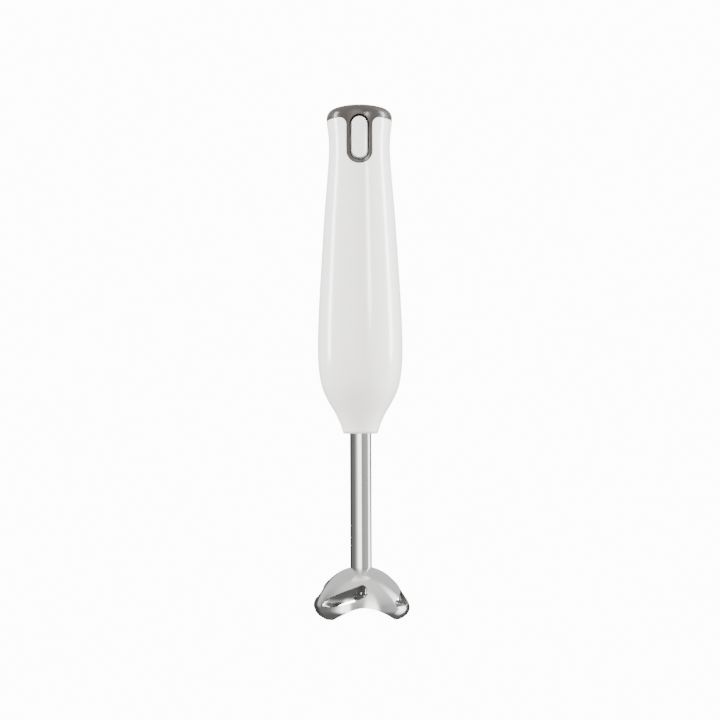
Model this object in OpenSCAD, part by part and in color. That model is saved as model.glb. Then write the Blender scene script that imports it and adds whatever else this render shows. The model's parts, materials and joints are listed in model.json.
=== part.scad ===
// Immersion blender: a two-shell grip on a steel leg with a four-lobed bell guard.
// +Z runs up the drive axis, -Y is the button side, and z = 0 is the plane of the bell's four feet.

/* [Bell guard] */
// Height of the bell from its feet to the leg tube
bell_height = 36; // [30:0.5:44]
// Radius over the bell's lobes at their widest
bell_lobe_r = 39.2; // [32:0.2:48]
// Height of the widest ring above the feet
bell_waist_z = 8; // [6:0.5:9.5]
// Depth of the flutes between the lobes, as a share of the radius
bell_flute = 0.12; // [0.05:0.01:0.16]
// Height of the arches between the feet
arch_height = 9.4; // [6:0.2:11]
// Sheet thickness of the bell
bell_wall = 1.1; // [0.8:0.1:1.6]
// Turn of the front arch from the button side
bell_turn = 4; // [0:1:10]

/* [Leg] */
// Length of bare tube between the bell and the grip
leg_length = 99; // [80:1:130]
// Outer diameter of the leg tube
tube_d = 16; // [13:0.2:19.2]
// Wall of the leg tube
tube_wall = 1; // [0.8:0.1:1.5]
// Diameter of the drive shaft
shaft_d = 5; // [4:0.1:6]

/* [Grip] */
// Length of the white grip from its collar to the cap
grip_length = 234; // [230:1:290]
// Radius of the grip at its belly
belly_r = 31.6; // [29:0.2:38]
// Radius of the grip at its waist, behind the button
waist_r = 22.9; // [21.5:0.1:27]
// Radius of the grip at the cap's joint
rim_r = 24.6; // [23.5:0.1:29]
// Radius of the collar over the leg tube
collar_r = 14.2; // [13:0.1:17]
// Wall of the two shells
shell_wall = 2.2; // [1.8:0.1:2.8]
// Height of the dome on the cap above its joint
cap_height = 12.2; // [11:0.1:15]
// Radius of the cap's edge
cap_edge_r = 7.2; // [5:0.1:8]

/* [Button] */
// Width of the button
button_w = 12; // [9:0.2:14.4]
// Height of the button
button_h = 31.6; // [26:0.2:34]
// Travel of the button
button_travel = 2; // [1.5:0.1:2.4]
// Groove between the button and its surround
button_gap = 1.1; // [0.6:0.1:1.4]
// Width of the surround beside the groove
surround_w = 2.4; // [1.6:0.1:3]

/* [Motor] */
// Length of the iron stack
stack_length = 30; // [24:1:36]
// Width of the stator's outer ring
yoke_w = 3.6; // [3:0.1:4.5]
// Depth of the space for the field coils
coil_depth = 4.4; // [3.6:0.1:5]
// Gap between the armature and the poles
air_gap = 0.6; // [0.4:0.1:0.8]
// Diameter of the cooling fan's hub
fan_hub_d = 13; // [11:0.5:15]

/* [Blade] */
// Radius of the blade's tips
blade_r = 23; // [18:0.5:27]
// Thickness of the blade
blade_t = 1.5; // [1.2:0.1:2]
// Height of the blade above the feet
blade_z = 13; // [11:0.5:16]

/* [Cord inlet] */
// Diameter of the hole for the cord
cord_hole_d = 7; // [6:0.2:8]

/* [Hidden] */
$fn = 64;
fit = 0.15;             // clearance between pieces that are put together by hand
slide_fit = 0.05;       // radial clearance of a running shaft or a slide
seat = 0.02;            // gap left where a round wire or coil meets a face
far = 60;               // reach of a tool that cuts right through the grip
arc_steps = 12;

// Outline of the grip, as a share of its length and a radius at each station
collar_z = bell_height + leg_length;
joint_z = collar_z + grip_length;
top_z = joint_z + cap_height;
function between(a, b, share) = a + (b - a) * share;
stations = [
    [0.006, collar_r - 0.9],
    [0.028, between(collar_r, belly_r, 0.03)],
    [0.065, between(collar_r, belly_r, 0.26)],
    [0.107, between(collar_r, belly_r, 0.59)],
    [0.150, between(collar_r, belly_r, 0.83)],
    [0.202, between(collar_r, belly_r, 0.955)],
    [0.262, belly_r],
    [0.385, between(waist_r, belly_r, 0.92)],
    [0.556, between(waist_r, belly_r, 0.655)],
    [0.706, between(waist_r, belly_r, 0.40)],
    [0.812, between(waist_r, belly_r, 0.165)],
    [0.906, waist_r],
    [0.953, between(waist_r, rim_r, 0.20)],
    [0.983, between(waist_r, rim_r, 0.72)],
    [1.000, rim_r],
];
last_station = len(stations) - 1;
grip_rows = 30;

// Slope of the outline at a station, from its neighbours
function slope(i) =
    let (a = stations[max(i - 1, 0)], b = stations[min(i + 1, last_station)])
    (b[1] - a[1]) / (b[0] - a[0]);
function span(u, i = 0) = i >= last_station - 1 || u < stations[i + 1][0] ? i : span(u, i + 1);
// Radius of the grip at a share of its length, as a cubic through the stations
function share_r(u) =
    let (i = span(u), a = stations[i], b = stations[i + 1], w = b[0] - a[0], t = (u - a[0]) / w)
    (2 * t ^ 3 - 3 * t ^ 2 + 1) * a[1] + (t ^ 3 - 2 * t ^ 2 + t) * w * slope(i)
    + (3 * t ^ 2 - 2 * t ^ 3) * b[1] + (t ^ 3 - t ^ 2) * w * slope(i + 1);
function row_share(i) = stations[0][0] + (1 - stations[0][0]) * i / grip_rows;
function row_z(i) = collar_z + grip_length * row_share(i);
// Radius of the grip as it is drawn, by straight lines from row to row
function grip_r(z) =
    let (
        u = min(max((z - collar_z) / grip_length, stations[0][0]), 1),
        i = min(floor((u - stations[0][0]) / (1 - stations[0][0]) * grip_rows), grip_rows - 1),
        t = (u - row_share(i)) / (row_share(i + 1) - row_share(i))
    )
    between(share_r(row_share(i)), share_r(row_share(i + 1)), t);
function bore_r(z) = grip_r(z) - shell_wall;
// Smallest bore over a stretch of height
function clear_r(z, h) = min([for (t = [0:0.125:1]) bore_r(z + h * t)]);
// Half-width of a flat piece that lies at y inside a bore
function room_x(r, y) = sqrt(r ^ 2 - y ^ 2);

// Cap: a shallow dome that runs tangent into a rounded edge
cap_r = rim_r + 0.1;
cap_edge_x = cap_r - cap_edge_r;
cap_edge_z = joint_z + 2.3;
cap_rise = top_z - cap_edge_z;
dome_r = (cap_edge_x ^ 2 + cap_rise ^ 2 - cap_edge_r ^ 2) / (2 * (cap_rise - cap_edge_r));
dome_z = top_z - dome_r;
dome_angle = atan2(cap_edge_x, cap_edge_z - dome_z);
function cap_points(grow) = [
    for (i = [0:arc_steps])
        let (a = between(90, dome_angle, i / arc_steps))
        [cap_edge_x + (cap_edge_r + grow) * sin(a), cap_edge_z + (cap_edge_r + grow) * cos(a)],
    for (i = [1:arc_steps])
        let (a = between(dome_angle, 0, i / arc_steps))
        [(dome_r + grow) * sin(a), dome_z + (dome_r + grow) * cos(a)],
];
function grip_points(grow, from_z) = [
    [grip_r(from_z) + grow, from_z],
    for (i = [0:grip_rows]) if (row_z(i) > from_z + 0.01) [share_r(row_share(i)) + grow, row_z(i)],
];

// Drive line, from the blade up to the coupling
tube_r = tube_d / 2;
tube_bore_r = tube_r - tube_wall;
shaft_r = shaft_d / 2;
tube_end_z = bell_height - 3;
nose_z = tube_end_z - 9;
nose_r = tube_r - 0.8;
carrier_r = tube_r + 2.5;
bush_r = shaft_r + 2;
seal_r = shaft_r + 2.6;
blade_top_z = blade_z + blade_t;
washer_t = 0.8;
hub_r = shaft_r + 2;
hub_top_z = nose_z - slide_fit - washer_t;
nut_h = 2.6;
shaft_end_z = blade_z - nut_h - 1;
collar_floor = 2.6;
socket_z = collar_z + collar_floor;
socket_h = 12.4;
socket_top_z = socket_z + socket_h;
socket_flange_t = 3;
socket_r = bore_r(socket_z) - fit;
socket_flange_r = bore_r(socket_top_z - socket_flange_t) - 0.5;
dog_h = 6;
coupling_h = 6;
dog_r = 6.8;
dog_bore_r = 3.2;
dog_angle = 78;
lower_hub_z = socket_top_z + 3;
dog_z = lower_hub_z + coupling_h;
upper_hub_z = dog_z + dog_h;

// Motor, sized by the grip around it
motor_shaft_r = 2.5;
fan_z = upper_hub_z + coupling_h + 2;
fan_h = 10;
fan_r = clear_r(fan_z, fan_h) - 3;
fan_hub_r = fan_hub_d / 2;
fan_blades = 12;
plate_t = 4;
boss_h = 5;
bearing_r = 6.5;
bearing_h = 7;
bearing_wall = 2;
lower_boss_z = fan_z + fan_h + 2;
lower_plate_z = lower_boss_z + boss_h;
end_turn = 8;
stack_z = lower_plate_z + plate_t + end_turn + 1;
stack_top_z = stack_z + stack_length;
commutator_z = stack_top_z + end_turn + 4;
commutator_h = 12;
brush_z = commutator_z + commutator_h / 2 + 0.5;
upper_plate_z = commutator_z + commutator_h + 4;
shaft_top_z = upper_plate_z + plate_t + boss_h + 1;
damper_w = 3.2;
rib_w = 2.4;
rib_t = 1.6;
lower_plate_r = clear_r(lower_plate_z, plate_t) - damper_w;
upper_plate_r = clear_r(upper_plate_z, plate_t) - damper_w;
stator_r = clear_r(stack_z, stack_length) - 3.4;
yoke_r = stator_r - yoke_w;
pole_shoe = 2.4;
shoe_r = yoke_r - coil_depth;
armature_r = shoe_r - pole_shoe - air_gap;
pole_w = armature_r;
shoe_angle = 50;
coil_y = 0.66 * yoke_r;
coil_rise = end_turn - 1.5;
slots = 12;
slot_r = 1.6;
slot_at_r = armature_r - slot_r - 1.2;
winding_r = armature_r - 1.2;
commutator_r = armature_r * 0.6;
riser_r = commutator_r + 1.2;
lug_r = 3.2;
motor_screw_y = yoke_r - lug_r + 0.6;
screw_r = 1.5;
head_r = 2.6;
head_h = 1.8;
air_hole_r = 3.6;
air_hole_at = 0.5 * (bearing_r + bearing_wall + upper_plate_r);
brush_w = 5;
brush_t = 6;
brush_l = 6.5;
holder_wall = 0.8;
holder_end_x = upper_plate_r - 3;
holder_start_x = riser_r + 0.8;
brush_end_x = commutator_r + slide_fit + brush_l;

// Button and switch
button_z = joint_z + 0.2 - button_h / 2;
button_proud = 0.7;
surround_r = button_w / 2 + button_gap + surround_w;
shoulder_r = 6;
tongue_back_y = -(waist_r - 3.7);
tongue_overlap = 3;
seal_clear = 0.3;
seal_inset = 1.2;
flange_t = 1.4;
flange_lip = 1.6;
flange_y = tongue_back_y + 0.2;
post_r = 3;
bracket_y = -10.5;
bracket_t = 2;
bracket_h = 36;
bracket_bore = clear_r(button_z - bracket_h / 2, bracket_h / 2);
bracket_w = 2 * (room_x(bracket_bore, bracket_y) - 1);
post_end_y = bracket_y - 1;
switch_y = bracket_y + bracket_t;
switch_w = 14;
switch_d = 12;
switch_h = 26;
plunger_r = 2.2;
plunger_l = 8;
spring_r = 4.3;
spring_wire = 0.45;
terminal_x = 4;
terminal_y = switch_y + switch_d / 2 - 0.4;
bracket_screw_x = bracket_w / 2 - 3.4;
bracket_screw_dz = [-12, 5];
switch_screw_dz = 9;
boss_r = 2.8;

// Screws that join the two shells, from the back, as [side, height]
shell_boss_r = 4.2;
shell_head_y = 7;
low_boss_z = collar_z + 0.105 * grip_length;
high_boss_z = shaft_top_z + 6;
shell_bosses = [[-1, low_boss_z], [1, low_boss_z], [-1, high_boss_z], [1, high_boss_z]];
function boss_x(b) = b[0] * (clear_r(b[1] - shell_boss_r, 2 * shell_boss_r) - shell_boss_r);

// Board, cord inlet and clamp
board_y = 6;
board_t = 1.6;
board_back_y = board_y + board_t;
board_bottom_z = high_boss_z + 6;
board_top_z = button_z - bracket_h / 2 - 6;
board_h = board_top_z - board_bottom_z;
board_z = (board_top_z + board_bottom_z) / 2;
board_w = 2 * (room_x(clear_r(board_bottom_z, board_h), board_back_y) - 1.5);
board_screw_x = board_w / 2 - 3.4;
board_screw_dz = board_h / 2 - 4;
block_size = [18, 9, 9];
block_z = board_top_z - block_size[2] - 1.5;
cap_size = [15, 8.5, 11];
choke_r = 7;
choke_h = 6;
diode_r = 1.4;
diode_l = 4.4;
inlet_z = button_z + 2;
cord_r = cord_hole_d / 2;
gland_r = cord_r + 1.8;
gland_lip = 1.6;
gland_y = grip_r(inlet_z) + 2.4;
gland_groove = 0.3;
gland_inner_y = bore_r(inlet_z) - 4;
clamp_y = 9.5;
clamp_t = 2.2;
clamp_h = 6;
clamp_z = inlet_z - 13;
clamp_x = 9;
wire_r = 0.9;

// Bell: the flutes fade towards the neck, and the rows crowd towards its flat top
bell_columns = 80;
bell_rows = 12;
bell_power = 1.45;
bell_tuck = 4.4;
bell_lobes = 4;
foot_flat = 0.5;
neck_r = tube_r + slide_fit;
// Slots as [degrees past the flute, share of the bell's height, half-height]
slot_stops = [[-50, 0.325, 2], [-28, 0.44, 4.5], [-2, 0.585, 4.2]];
slot_steps = 5;

function fade(x) = x * x * (3 - 2 * x);
function lobe_r(z) =
    z >= bell_waist_z
    ? neck_r + (bell_lobe_r - neck_r)
      * max(1 - ((z - bell_waist_z) / (bell_height - bell_waist_z)) ^ bell_power, 0) ^ (1 / bell_power)
    : bell_lobe_r - bell_tuck * ((bell_waist_z - z) / bell_waist_z) ^ 2;
// 1 in the middle of a flute, 0 on a lobe
function flute(a) = (1 + cos(bell_lobes * (a - bell_turn))) / 2;
function bell_r(a, z) =
    let (r = lobe_r(z), share = (r - neck_r) / (bell_lobe_r - neck_r))
    r * (1 - bell_flute * fade(min(max(share, 0), 1)) * flute(a) ^ 1.5);
function rim_z(a) = max(0, (arch_height + foot_flat) * flute(a) ^ 0.8 - foot_flat);
function bell_point(a, i) =
    let (z = rim_z(a) + (bell_height - rim_z(a)) * cos(90 * i / bell_rows) ^ 1.2)
    i == 0 ? [neck_r, bell_height] : i == bell_rows ? [bell_r(a, rim_z(a)), rim_z(a)] : [bell_r(a, z), z];
function bell_inner_point(a, i) =
    let (
        p = bell_point(a, i),
        d = bell_point(a, min(i + 1, bell_rows)) - bell_point(a, max(i - 1, 0))
    )
    i == 0 ? p - [0, bell_wall]
    : i == bell_rows ? p - [bell_wall, 0]
    : p - bell_wall * [-d[1], d[0]] / norm(d);
// Azimuth 0 faces the button side and grows towards +X
function around(a, p) = [p[0] * sin(a), -p[0] * cos(a), p[1]];

// ---- Shared shapes ----

module ring(outer_r, inner_r, z, h) {
    translate([0, 0, z]) difference() {
        cylinder(r = outer_r, h = h);
        translate([0, 0, -1]) cylinder(r = inner_r, h = h + 2);
    }
}

// Cylinder that runs along Y
module rod_y(r, from_y, to_y, x = 0, z = 0) {
    translate([x, from_y, z]) rotate([-90, 0, 0]) cylinder(r = r, h = to_y - from_y);
}

// Pan-head screw along Y, with its head at head_y and its shank towards the sign of l
module screw_y(x, head_y, z, l) {
    toward = l / abs(l);
    translate([x, head_y, z]) rotate([-90 * toward, 0, 0]) pan_screw(abs(l));
}

// Pan-head screw along Z, with the head's underside at 0 and a cross slot in its top
module pan_screw(l) {
    difference() {
        union() {
            translate([0, 0, -head_h]) cylinder(r = head_r, h = head_h);
            cylinder(r = screw_r, h = l);
        }
        translate([0, 0, 0.4 - head_h]) {
            cube([head_r * 1.3, 0.7, 1.6], center = true);
            cube([0.7, head_r * 1.3, 1.6], center = true);
        }
    }
}

// Solid inside the outer form of the whole grip, grown or shrunk
module grip_form(grow) {
    rotate_extrude() polygon([
        [0, collar_z - 1],
        [grip_r(collar_z) + grow, collar_z - 1],
        each grip_points(grow, collar_z),
        each cap_points(grow),
    ]);
}

// Half of the space in front of (-1) or behind (1) a plane across Y
module half(side, y = 0) {
    translate([0, y + side * far / 2, joint_z / 2]) cube([2 * far, far, 2 * joint_z], center = true);
}

// Prism along Y through an outline drawn in X and Z
module through_y(from_y, to_y, points) {
    translate([0, to_y, 0]) rotate([90, 0, 0]) linear_extrude(to_y - from_y) polygon(points);
}

// Outline of the button grown by a margin, in X and Z
function button_outline(grow) =
    let (r = button_w / 2 + grow, rise = (button_h - button_w) / 2)
    [
        for (s = [1, -1], i = [0:arc_steps])
            let (a = 180 * i / arc_steps)
            [s * r * cos(a), button_z + s * (rise + r * sin(a))],
    ];

// Outline of the cap's tongue around the button, with its flared shoulders, in X and Z
function tongue_side(grow) =
    let (r = surround_r + grow, low = button_z - (button_h - button_w) / 2)
    [
        for (i = [0:arc_steps]) [r * sin(90 * i / arc_steps), low - r * cos(90 * i / arc_steps)],
        for (i = [0:arc_steps / 2])
            let (a = 90 * i / (arc_steps / 2), s = shoulder_r - grow)
            [surround_r + shoulder_r - s * cos(a), joint_z - shoulder_r + s * sin(a)],
    ];
// over: how far the tongue's root reaches up into the cap, or 0 for the cut in the shell
function tongue_outline(grow, over) =
    let (side = tongue_side(grow), wide = surround_r + shoulder_r)
    [
        each side,
        if (over == 0) each [[wide, joint_z + 1], [-wide, joint_z + 1]],
        if (over > 0) each [
            for (s = [1, -1], rise = s > 0 ? [0, over] : [over, 0]) [s * surround_r, joint_z + rise]
        ],
        for (i = [len(side) - 1:-1:1]) [-side[i][0], side[i][1]],
    ];

// Two wedges that face along +X and -X, each reaching an angle to both sides
module bow_tie(angle) {
    for (s = [-1, 1]) polygon([[0, 0], for (c = [-1, 1]) far * [s * cos(angle), c * sin(angle)]]);
}

// Coil of round wire along Z, between 0 and a length
module coil(r, wire, length, turns, per_turn = 14, sides = 6) {
    n = turns * per_turn;
    rise = length - 2 * wire - 2 * seat;
    function rim(i, j) =
        let (a = 360 * i / per_turn, b = 360 * j / sides, x = r + wire * cos(b))
        [x * cos(a), x * sin(a), wire + seat + rise * i / n + wire * sin(b)];
    polyhedron(
        points = [for (i = [0:n], j = [0:sides - 1]) rim(i, j)],
        faces = [
            for (i = [0:n - 1], j = [0:sides - 1])
                let (k = (j + 1) % sides)
                [i * sides + j, i * sides + k, (i + 1) * sides + k, (i + 1) * sides + j],
            [for (j = [sides - 1:-1:0]) j],
            [for (j = [0:sides - 1]) n * sides + j],
        ]
    );
}

// Round wire along a route of points
module wire(route) {
    for (i = [0:len(route) - 2]) hull() {
        translate(route[i]) sphere(r = wire_r, $fn = 10);
        translate(route[i + 1]) sphere(r = wire_r, $fn = 10);
    }
}

// ---- Grip ----

module shell_wall_form() {
    rotate_extrude() polygon([
        [tube_r + fit, collar_z],
        [grip_r(collar_z) - 1, collar_z],
        [grip_r(collar_z) - 0.3, collar_z + 0.4],
        each grip_points(0, row_z(0)),
        for (i = [grip_rows:-1:1]) if (row_z(i) > socket_z + 0.5)
            [share_r(row_share(i)) - shell_wall, row_z(i)],
        [bore_r(socket_z), socket_z],
        [tube_r + fit, socket_z],
    ]);
}

// Rib round the inside of the shells, from z upwards
module shell_rib(z) {
    r = clear_r(z, rib_t);
    ring(r + shell_wall / 2, r - rib_w, z, rib_t);
}

module shell_ribs() {
    shell_rib(socket_top_z);
    for (z = [lower_plate_z, upper_plate_z]) {
        shell_rib(z - rib_t);
        shell_rib(z + plate_t);
    }
}

// One shell, before its own openings: side is -1 for the front and 1 for the back
module shell(side) {
    intersection() {
        union() {
            shell_wall_form();
            shell_ribs();
            intersection() {
                grip_form(-shell_wall / 2);
                union() {
                    for (b = shell_bosses) rod_y(shell_boss_r, 0, side * far, boss_x(b), b[1]);
                    children();
                }
            }
        }
        half(side);
    }
}

module front_shell() {
    color([0.91, 0.90, 0.88]) difference() {
        shell(-1) bracket_bosses();
        through_y(-far, bracket_y - 1, tongue_outline(fit, 0));
        for (b = shell_bosses) rod_y(screw_r + slide_fit, -9, 1, boss_x(b), b[1]);
        for (s = [-1, 1], dz = bracket_screw_dz)
            rod_y(screw_r + slide_fit, bracket_y - 5, bracket_y + 1, s * bracket_screw_x, button_z + dz);
    }
}

module bracket_bosses() {
    for (s = [-1, 1], dz = bracket_screw_dz)
        rod_y(boss_r, -far, bracket_y, s * bracket_screw_x, button_z + dz);
}

module rear_shell() {
    color([0.91, 0.90, 0.88]) difference() {
        shell(1) {
            for (s = [-1, 1], t = [-1, 1])
                rod_y(boss_r, board_back_y, far, s * board_screw_x, board_z + t * board_screw_dz);
            for (s = [-1, 1]) rod_y(boss_r, clamp_y + clamp_t, far, s * clamp_x, clamp_z);
            translate([-2, clamp_y + clamp_t + 2 * cord_r, clamp_z - 1]) cube([4, far, 2]);
        }
        for (b = shell_bosses) {
            rod_y(screw_r + fit, -1, far, boss_x(b), b[1]);
            rod_y(head_r + fit, shell_head_y, far, boss_x(b), b[1]);
        }
        for (s = [-1, 1], t = [-1, 1])
            rod_y(screw_r + slide_fit, 0, board_back_y + 6, s * board_screw_x, board_z + t * board_screw_dz);
        for (s = [-1, 1]) rod_y(screw_r + slide_fit, 0, clamp_y + clamp_t + 5, s * clamp_x, clamp_z);
        rod_y(gland_r, 0, far, 0, inlet_z);
        air_inlets();
        air_outlets();
    }
}

module air_inlets() {
    for (i = [0:4])
        translate([0, far / 2 + 10, board_z - 12 + 6 * i]) cube([20, far, 2.2], center = true);
}

module air_outlets() {
    for (a = [-40:16:40])
        rotate([0, 0, a]) translate([0, far / 2 + 8, fan_z + fan_h / 2]) cube([2.6, far, 12], center = true);
}

module top_cap() {
    spigot_h = 5;
    spigot_t = 1.6;
    spigot_r = clear_r(joint_z - spigot_h, spigot_h) - fit;
    color([0.45, 0.43, 0.41]) difference() {
        union() {
            rotate_extrude() polygon([
                [rim_r - shell_wall, joint_z],
                [rim_r, joint_z],
                each cap_points(0),
                each cap_inside(),
            ]);
            difference() {
                rotate_extrude() polygon([
                    [spigot_r - spigot_t, joint_z - spigot_h],
                    [spigot_r, joint_z - spigot_h],
                    [spigot_r, joint_z],
                    [rim_r - shell_wall / 2, joint_z],
                    [rim_r - shell_wall / 2, joint_z + 2],
                    [spigot_r - spigot_t, joint_z + 2],
                ]);
                translate([-surround_r - shoulder_r - 1, -far, joint_z - far / 2])
                    cube([2 * (surround_r + shoulder_r + 1), far, far]);
            }
            tongue();
        }
        through_y(-far, tongue_back_y + 4, button_outline(button_gap));
    }
}

// Points of the cap's inner form from the axis down to the joint
function cap_inside() = let (p = cap_points(-shell_wall)) [for (i = [len(p) - 1:-1:0]) p[i]];

module tongue() {
    difference() {
        intersection() {
            grip_form(0);
            through_y(-far, bracket_y - 1, tongue_outline(0, tongue_overlap));
        }
        intersection() {
            grip_form(-shell_wall);
            half(1, tongue_back_y);
        }
    }
}

// Lines the groove round the button
module button_seal() {
    color([0.06, 0.06, 0.06]) intersection() {
        grip_form(-seal_inset);
        difference() {
            through_y(-far, tongue_back_y, button_outline(button_gap));
            through_y(-far - 1, tongue_back_y + 1, button_outline(seal_clear));
        }
    }
}

module power_button() {
    color([0.93, 0.92, 0.90]) {
        intersection() {
            grip_form(button_proud);
            through_y(-far, flange_y, button_outline(0));
        }
        through_y(flange_y, flange_y + flange_t, button_outline(flange_lip));
        rod_y(post_r, flange_y + flange_t, post_end_y, 0, button_z);
    }
}

module button_spring() {
    from_y = flange_y + flange_t;
    color([0.6, 0.6, 0.6]) translate([0, from_y, button_z]) rotate([-90, 0, 0])
        coil(spring_r, spring_wire, bracket_y - from_y, 4);
}

module switch_bracket() {
    color([0.15, 0.15, 0.16]) difference() {
        translate([-bracket_w / 2, bracket_y, button_z - bracket_h / 2])
            cube([bracket_w, bracket_t, bracket_h]);
        rod_y(post_r + fit, bracket_y - 1, switch_y + 1, 0, button_z);
        for (s = [-1, 1], dz = bracket_screw_dz)
            rod_y(screw_r + fit, bracket_y - 1, switch_y + 1, s * bracket_screw_x, button_z + dz);
        for (s = [-1, 1])
            rod_y(screw_r + fit, bracket_y - 1, switch_y + 1, 0, button_z + s * switch_screw_dz);
    }
}

module bracket_screws() {
    color([0.7, 0.7, 0.68]) for (s = [-1, 1], dz = bracket_screw_dz)
        screw_y(s * bracket_screw_x, switch_y, button_z + dz, -(bracket_t + 4));
}

module switch_screws() {
    color([0.7, 0.7, 0.68]) for (s = [-1, 1])
        screw_y(0, bracket_y, button_z + s * switch_screw_dz, bracket_t + 4);
}

module switch_body() {
    color([0.08, 0.08, 0.09]) difference() {
        translate([-switch_w / 2, switch_y, button_z - switch_h / 2]) cube([switch_w, switch_d, switch_h]);
        rod_y(plunger_r + slide_fit, switch_y - 1, post_end_y + plunger_l + button_travel + 0.5, 0, button_z);
        for (s = [-1, 1])
            rod_y(screw_r + slide_fit, switch_y - 1, switch_y + 4.5, 0, button_z + s * switch_screw_dz);
    }
}

module switch_plunger() {
    color([0.75, 0.15, 0.12]) rod_y(plunger_r, post_end_y, post_end_y + plunger_l, 0, button_z);
}

module switch_terminals() {
    color([0.8, 0.65, 0.3]) for (s = [-1, 1])
        translate([s * terminal_x - 1.6, terminal_y, button_z - switch_h / 2 - 4]) cube([3.2, 0.8, 4]);
}

module shell_screws() {
    color([0.7, 0.7, 0.68]) for (b = shell_bosses)
        screw_y(boss_x(b), shell_head_y, b[1], -(shell_head_y + 8));
}

module cord_gland() {
    lip_h = room_x(bore_r(inlet_z), gland_r + gland_lip) - gland_groove - gland_inner_y;
    color([0.12, 0.12, 0.12]) translate([0, 0, inlet_z]) rotate([-90, 0, 0]) difference() {
        union() {
            translate([0, 0, gland_inner_y]) cylinder(r = gland_r, h = gland_y - gland_inner_y);
            translate([0, 0, gland_inner_y]) cylinder(r = gland_r + gland_lip, h = lip_h);
        }
        cylinder(r = cord_r, h = far);
    }
}

module cord_clamp() {
    color([0.15, 0.15, 0.16]) difference() {
        translate([-clamp_x - clamp_h / 2, clamp_y, clamp_z - clamp_h / 2])
            cube([2 * clamp_x + clamp_h, clamp_t, clamp_h]);
        for (s = [-1, 1]) rod_y(screw_r + fit, clamp_y - 1, clamp_y + clamp_t + 1, s * clamp_x, clamp_z);
    }
}

module clamp_screws() {
    color([0.7, 0.7, 0.68]) for (s = [-1, 1]) screw_y(s * clamp_x, clamp_y, clamp_z, clamp_t + 4);
}

// ---- Board ----

module circuit_board() {
    color([0.1, 0.35, 0.2]) difference() {
        translate([-board_w / 2, board_y, board_bottom_z]) cube([board_w, board_t, board_h]);
        for (s = [-1, 1], t = [-1, 1])
            rod_y(
                screw_r + fit, board_y - 1, board_back_y + 1,
                s * board_screw_x, board_z + t * board_screw_dz
            );
    }
}

module board_screws() {
    color([0.7, 0.7, 0.68]) for (s = [-1, 1], t = [-1, 1])
        screw_y(s * board_screw_x, board_y, board_z + t * board_screw_dz, board_t + 5);
}

module terminal_block() {
    color([0.2, 0.45, 0.3]) difference() {
        translate([-block_size[0] / 2, board_y - block_size[1], block_z]) cube(block_size);
        for (i = [-1:1]) {
            translate([6 * i, board_y - block_size[1] / 2, block_z + 4]) cylinder(r = 1.4, h = 6);
            rod_y(1.6, board_y - block_size[1] - 1, board_y - block_size[1] + 2, 6 * i, block_z + 5);
        }
    }
}

module capacitor() {
    color([0.85, 0.7, 0.15])
        translate([-cap_size[0] / 2, board_y - cap_size[1], block_z - cap_size[2] - 1.5]) cube(cap_size);
}

module choke() {
    z = board_bottom_z + choke_r + 1.5;
    color([0.7, 0.4, 0.2]) difference() {
        rod_y(choke_r, board_y - choke_h, board_y, 3, z);
        rod_y(choke_r - 4, board_y - choke_h - 1, board_y + 1, 3, z);
        for (i = [0:11]) translate([3, board_y - choke_h / 2, z]) rotate([0, 30 * i, 0])
            translate([choke_r + 0.2, 0, 0]) cube([1.4, choke_h + 2, 0.8], center = true);
    }
}

module rectifier_diodes() {
    color([0.08, 0.08, 0.08]) for (i = [0:3])
        translate([-13 + 3.2 * (i % 2), board_y - diode_r - 0.6, board_bottom_z + 10 + 6 * floor(i / 2)]) {
            cylinder(r = diode_r, h = diode_l);
            translate([-0.4, 0, 0.5]) cube([0.8, diode_r + 0.6, 0.8]);
            translate([-0.4, 0, diode_l - 1.3]) cube([0.8, diode_r + 0.6, 0.8]);
        }
}

module switch_wires() {
    color([0.45, 0.25, 0.12]) for (s = [-1, 1])
        wire([
            [6 * s, board_y - block_size[1] / 2, block_z + block_size[2] - 2],
            [6 * s, board_y - block_size[1] / 2, block_z + block_size[2] + 2],
            [terminal_x * s, terminal_y - wire_r - seat, button_z - switch_h / 2 - 5],
            [terminal_x * s, terminal_y - wire_r - seat, button_z - switch_h / 2 - 2],
        ]);
}

module brush_wires() {
    x = air_hole_at * cos(45);
    side_y = brush_w / 2 + fit + holder_wall + wire_r + seat;
    color([0.15, 0.25, 0.6]) for (s = [-1, 1])
        wire([
            [s * x, board_y - wire_r - seat, board_bottom_z + 4],
            [s * x, board_y - wire_r - seat, board_bottom_z - 3],
            [s * x, x, upper_plate_z + plate_t + boss_h],
            [s * x, x, upper_plate_z - 2],
            [s * (holder_start_x + 3), side_y, brush_z],
        ]);
}

// ---- Motor ----

// Plate that carries a bearing: the pocket opens towards the armature
module motor_bracket(r, plate_z, up) {
    boss_z = up ? plate_z + plate_t : plate_z - boss_h;
    bearing_z = up ? plate_z : plate_z + plate_t - bearing_h;
    post_z = up ? stack_top_z : plate_z + plate_t;
    post_end_z = up ? plate_z : stack_z;
    difference() {
        union() {
            translate([0, 0, plate_z]) cylinder(r = r, h = plate_t);
            translate([0, 0, boss_z]) cylinder(r = bearing_r + bearing_wall, h = boss_h);
            for (s = [-1, 1])
                translate([0, s * motor_screw_y, post_z]) cylinder(r = lug_r, h = post_end_z - post_z);
        }
        translate([0, 0, bearing_z - (up ? 1 : 0)]) cylinder(r = bearing_r, h = bearing_h + 1);
        translate([0, 0, plate_z - far / 2]) cylinder(r = bearing_r - 2, h = far);
        for (s = [-1, 1]) translate([0, s * motor_screw_y, plate_z - far / 2])
            cylinder(r = screw_r + slide_fit, h = far * 2);
        for (a = [45:90:315]) rotate([0, 0, a]) translate([air_hole_at, 0, plate_z - 1])
            cylinder(r = air_hole_r, h = plate_t + 2);
    }
}

module upper_motor_bracket() {
    color([0.2, 0.2, 0.22]) motor_bracket(upper_plate_r, upper_plate_z, true);
}

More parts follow.
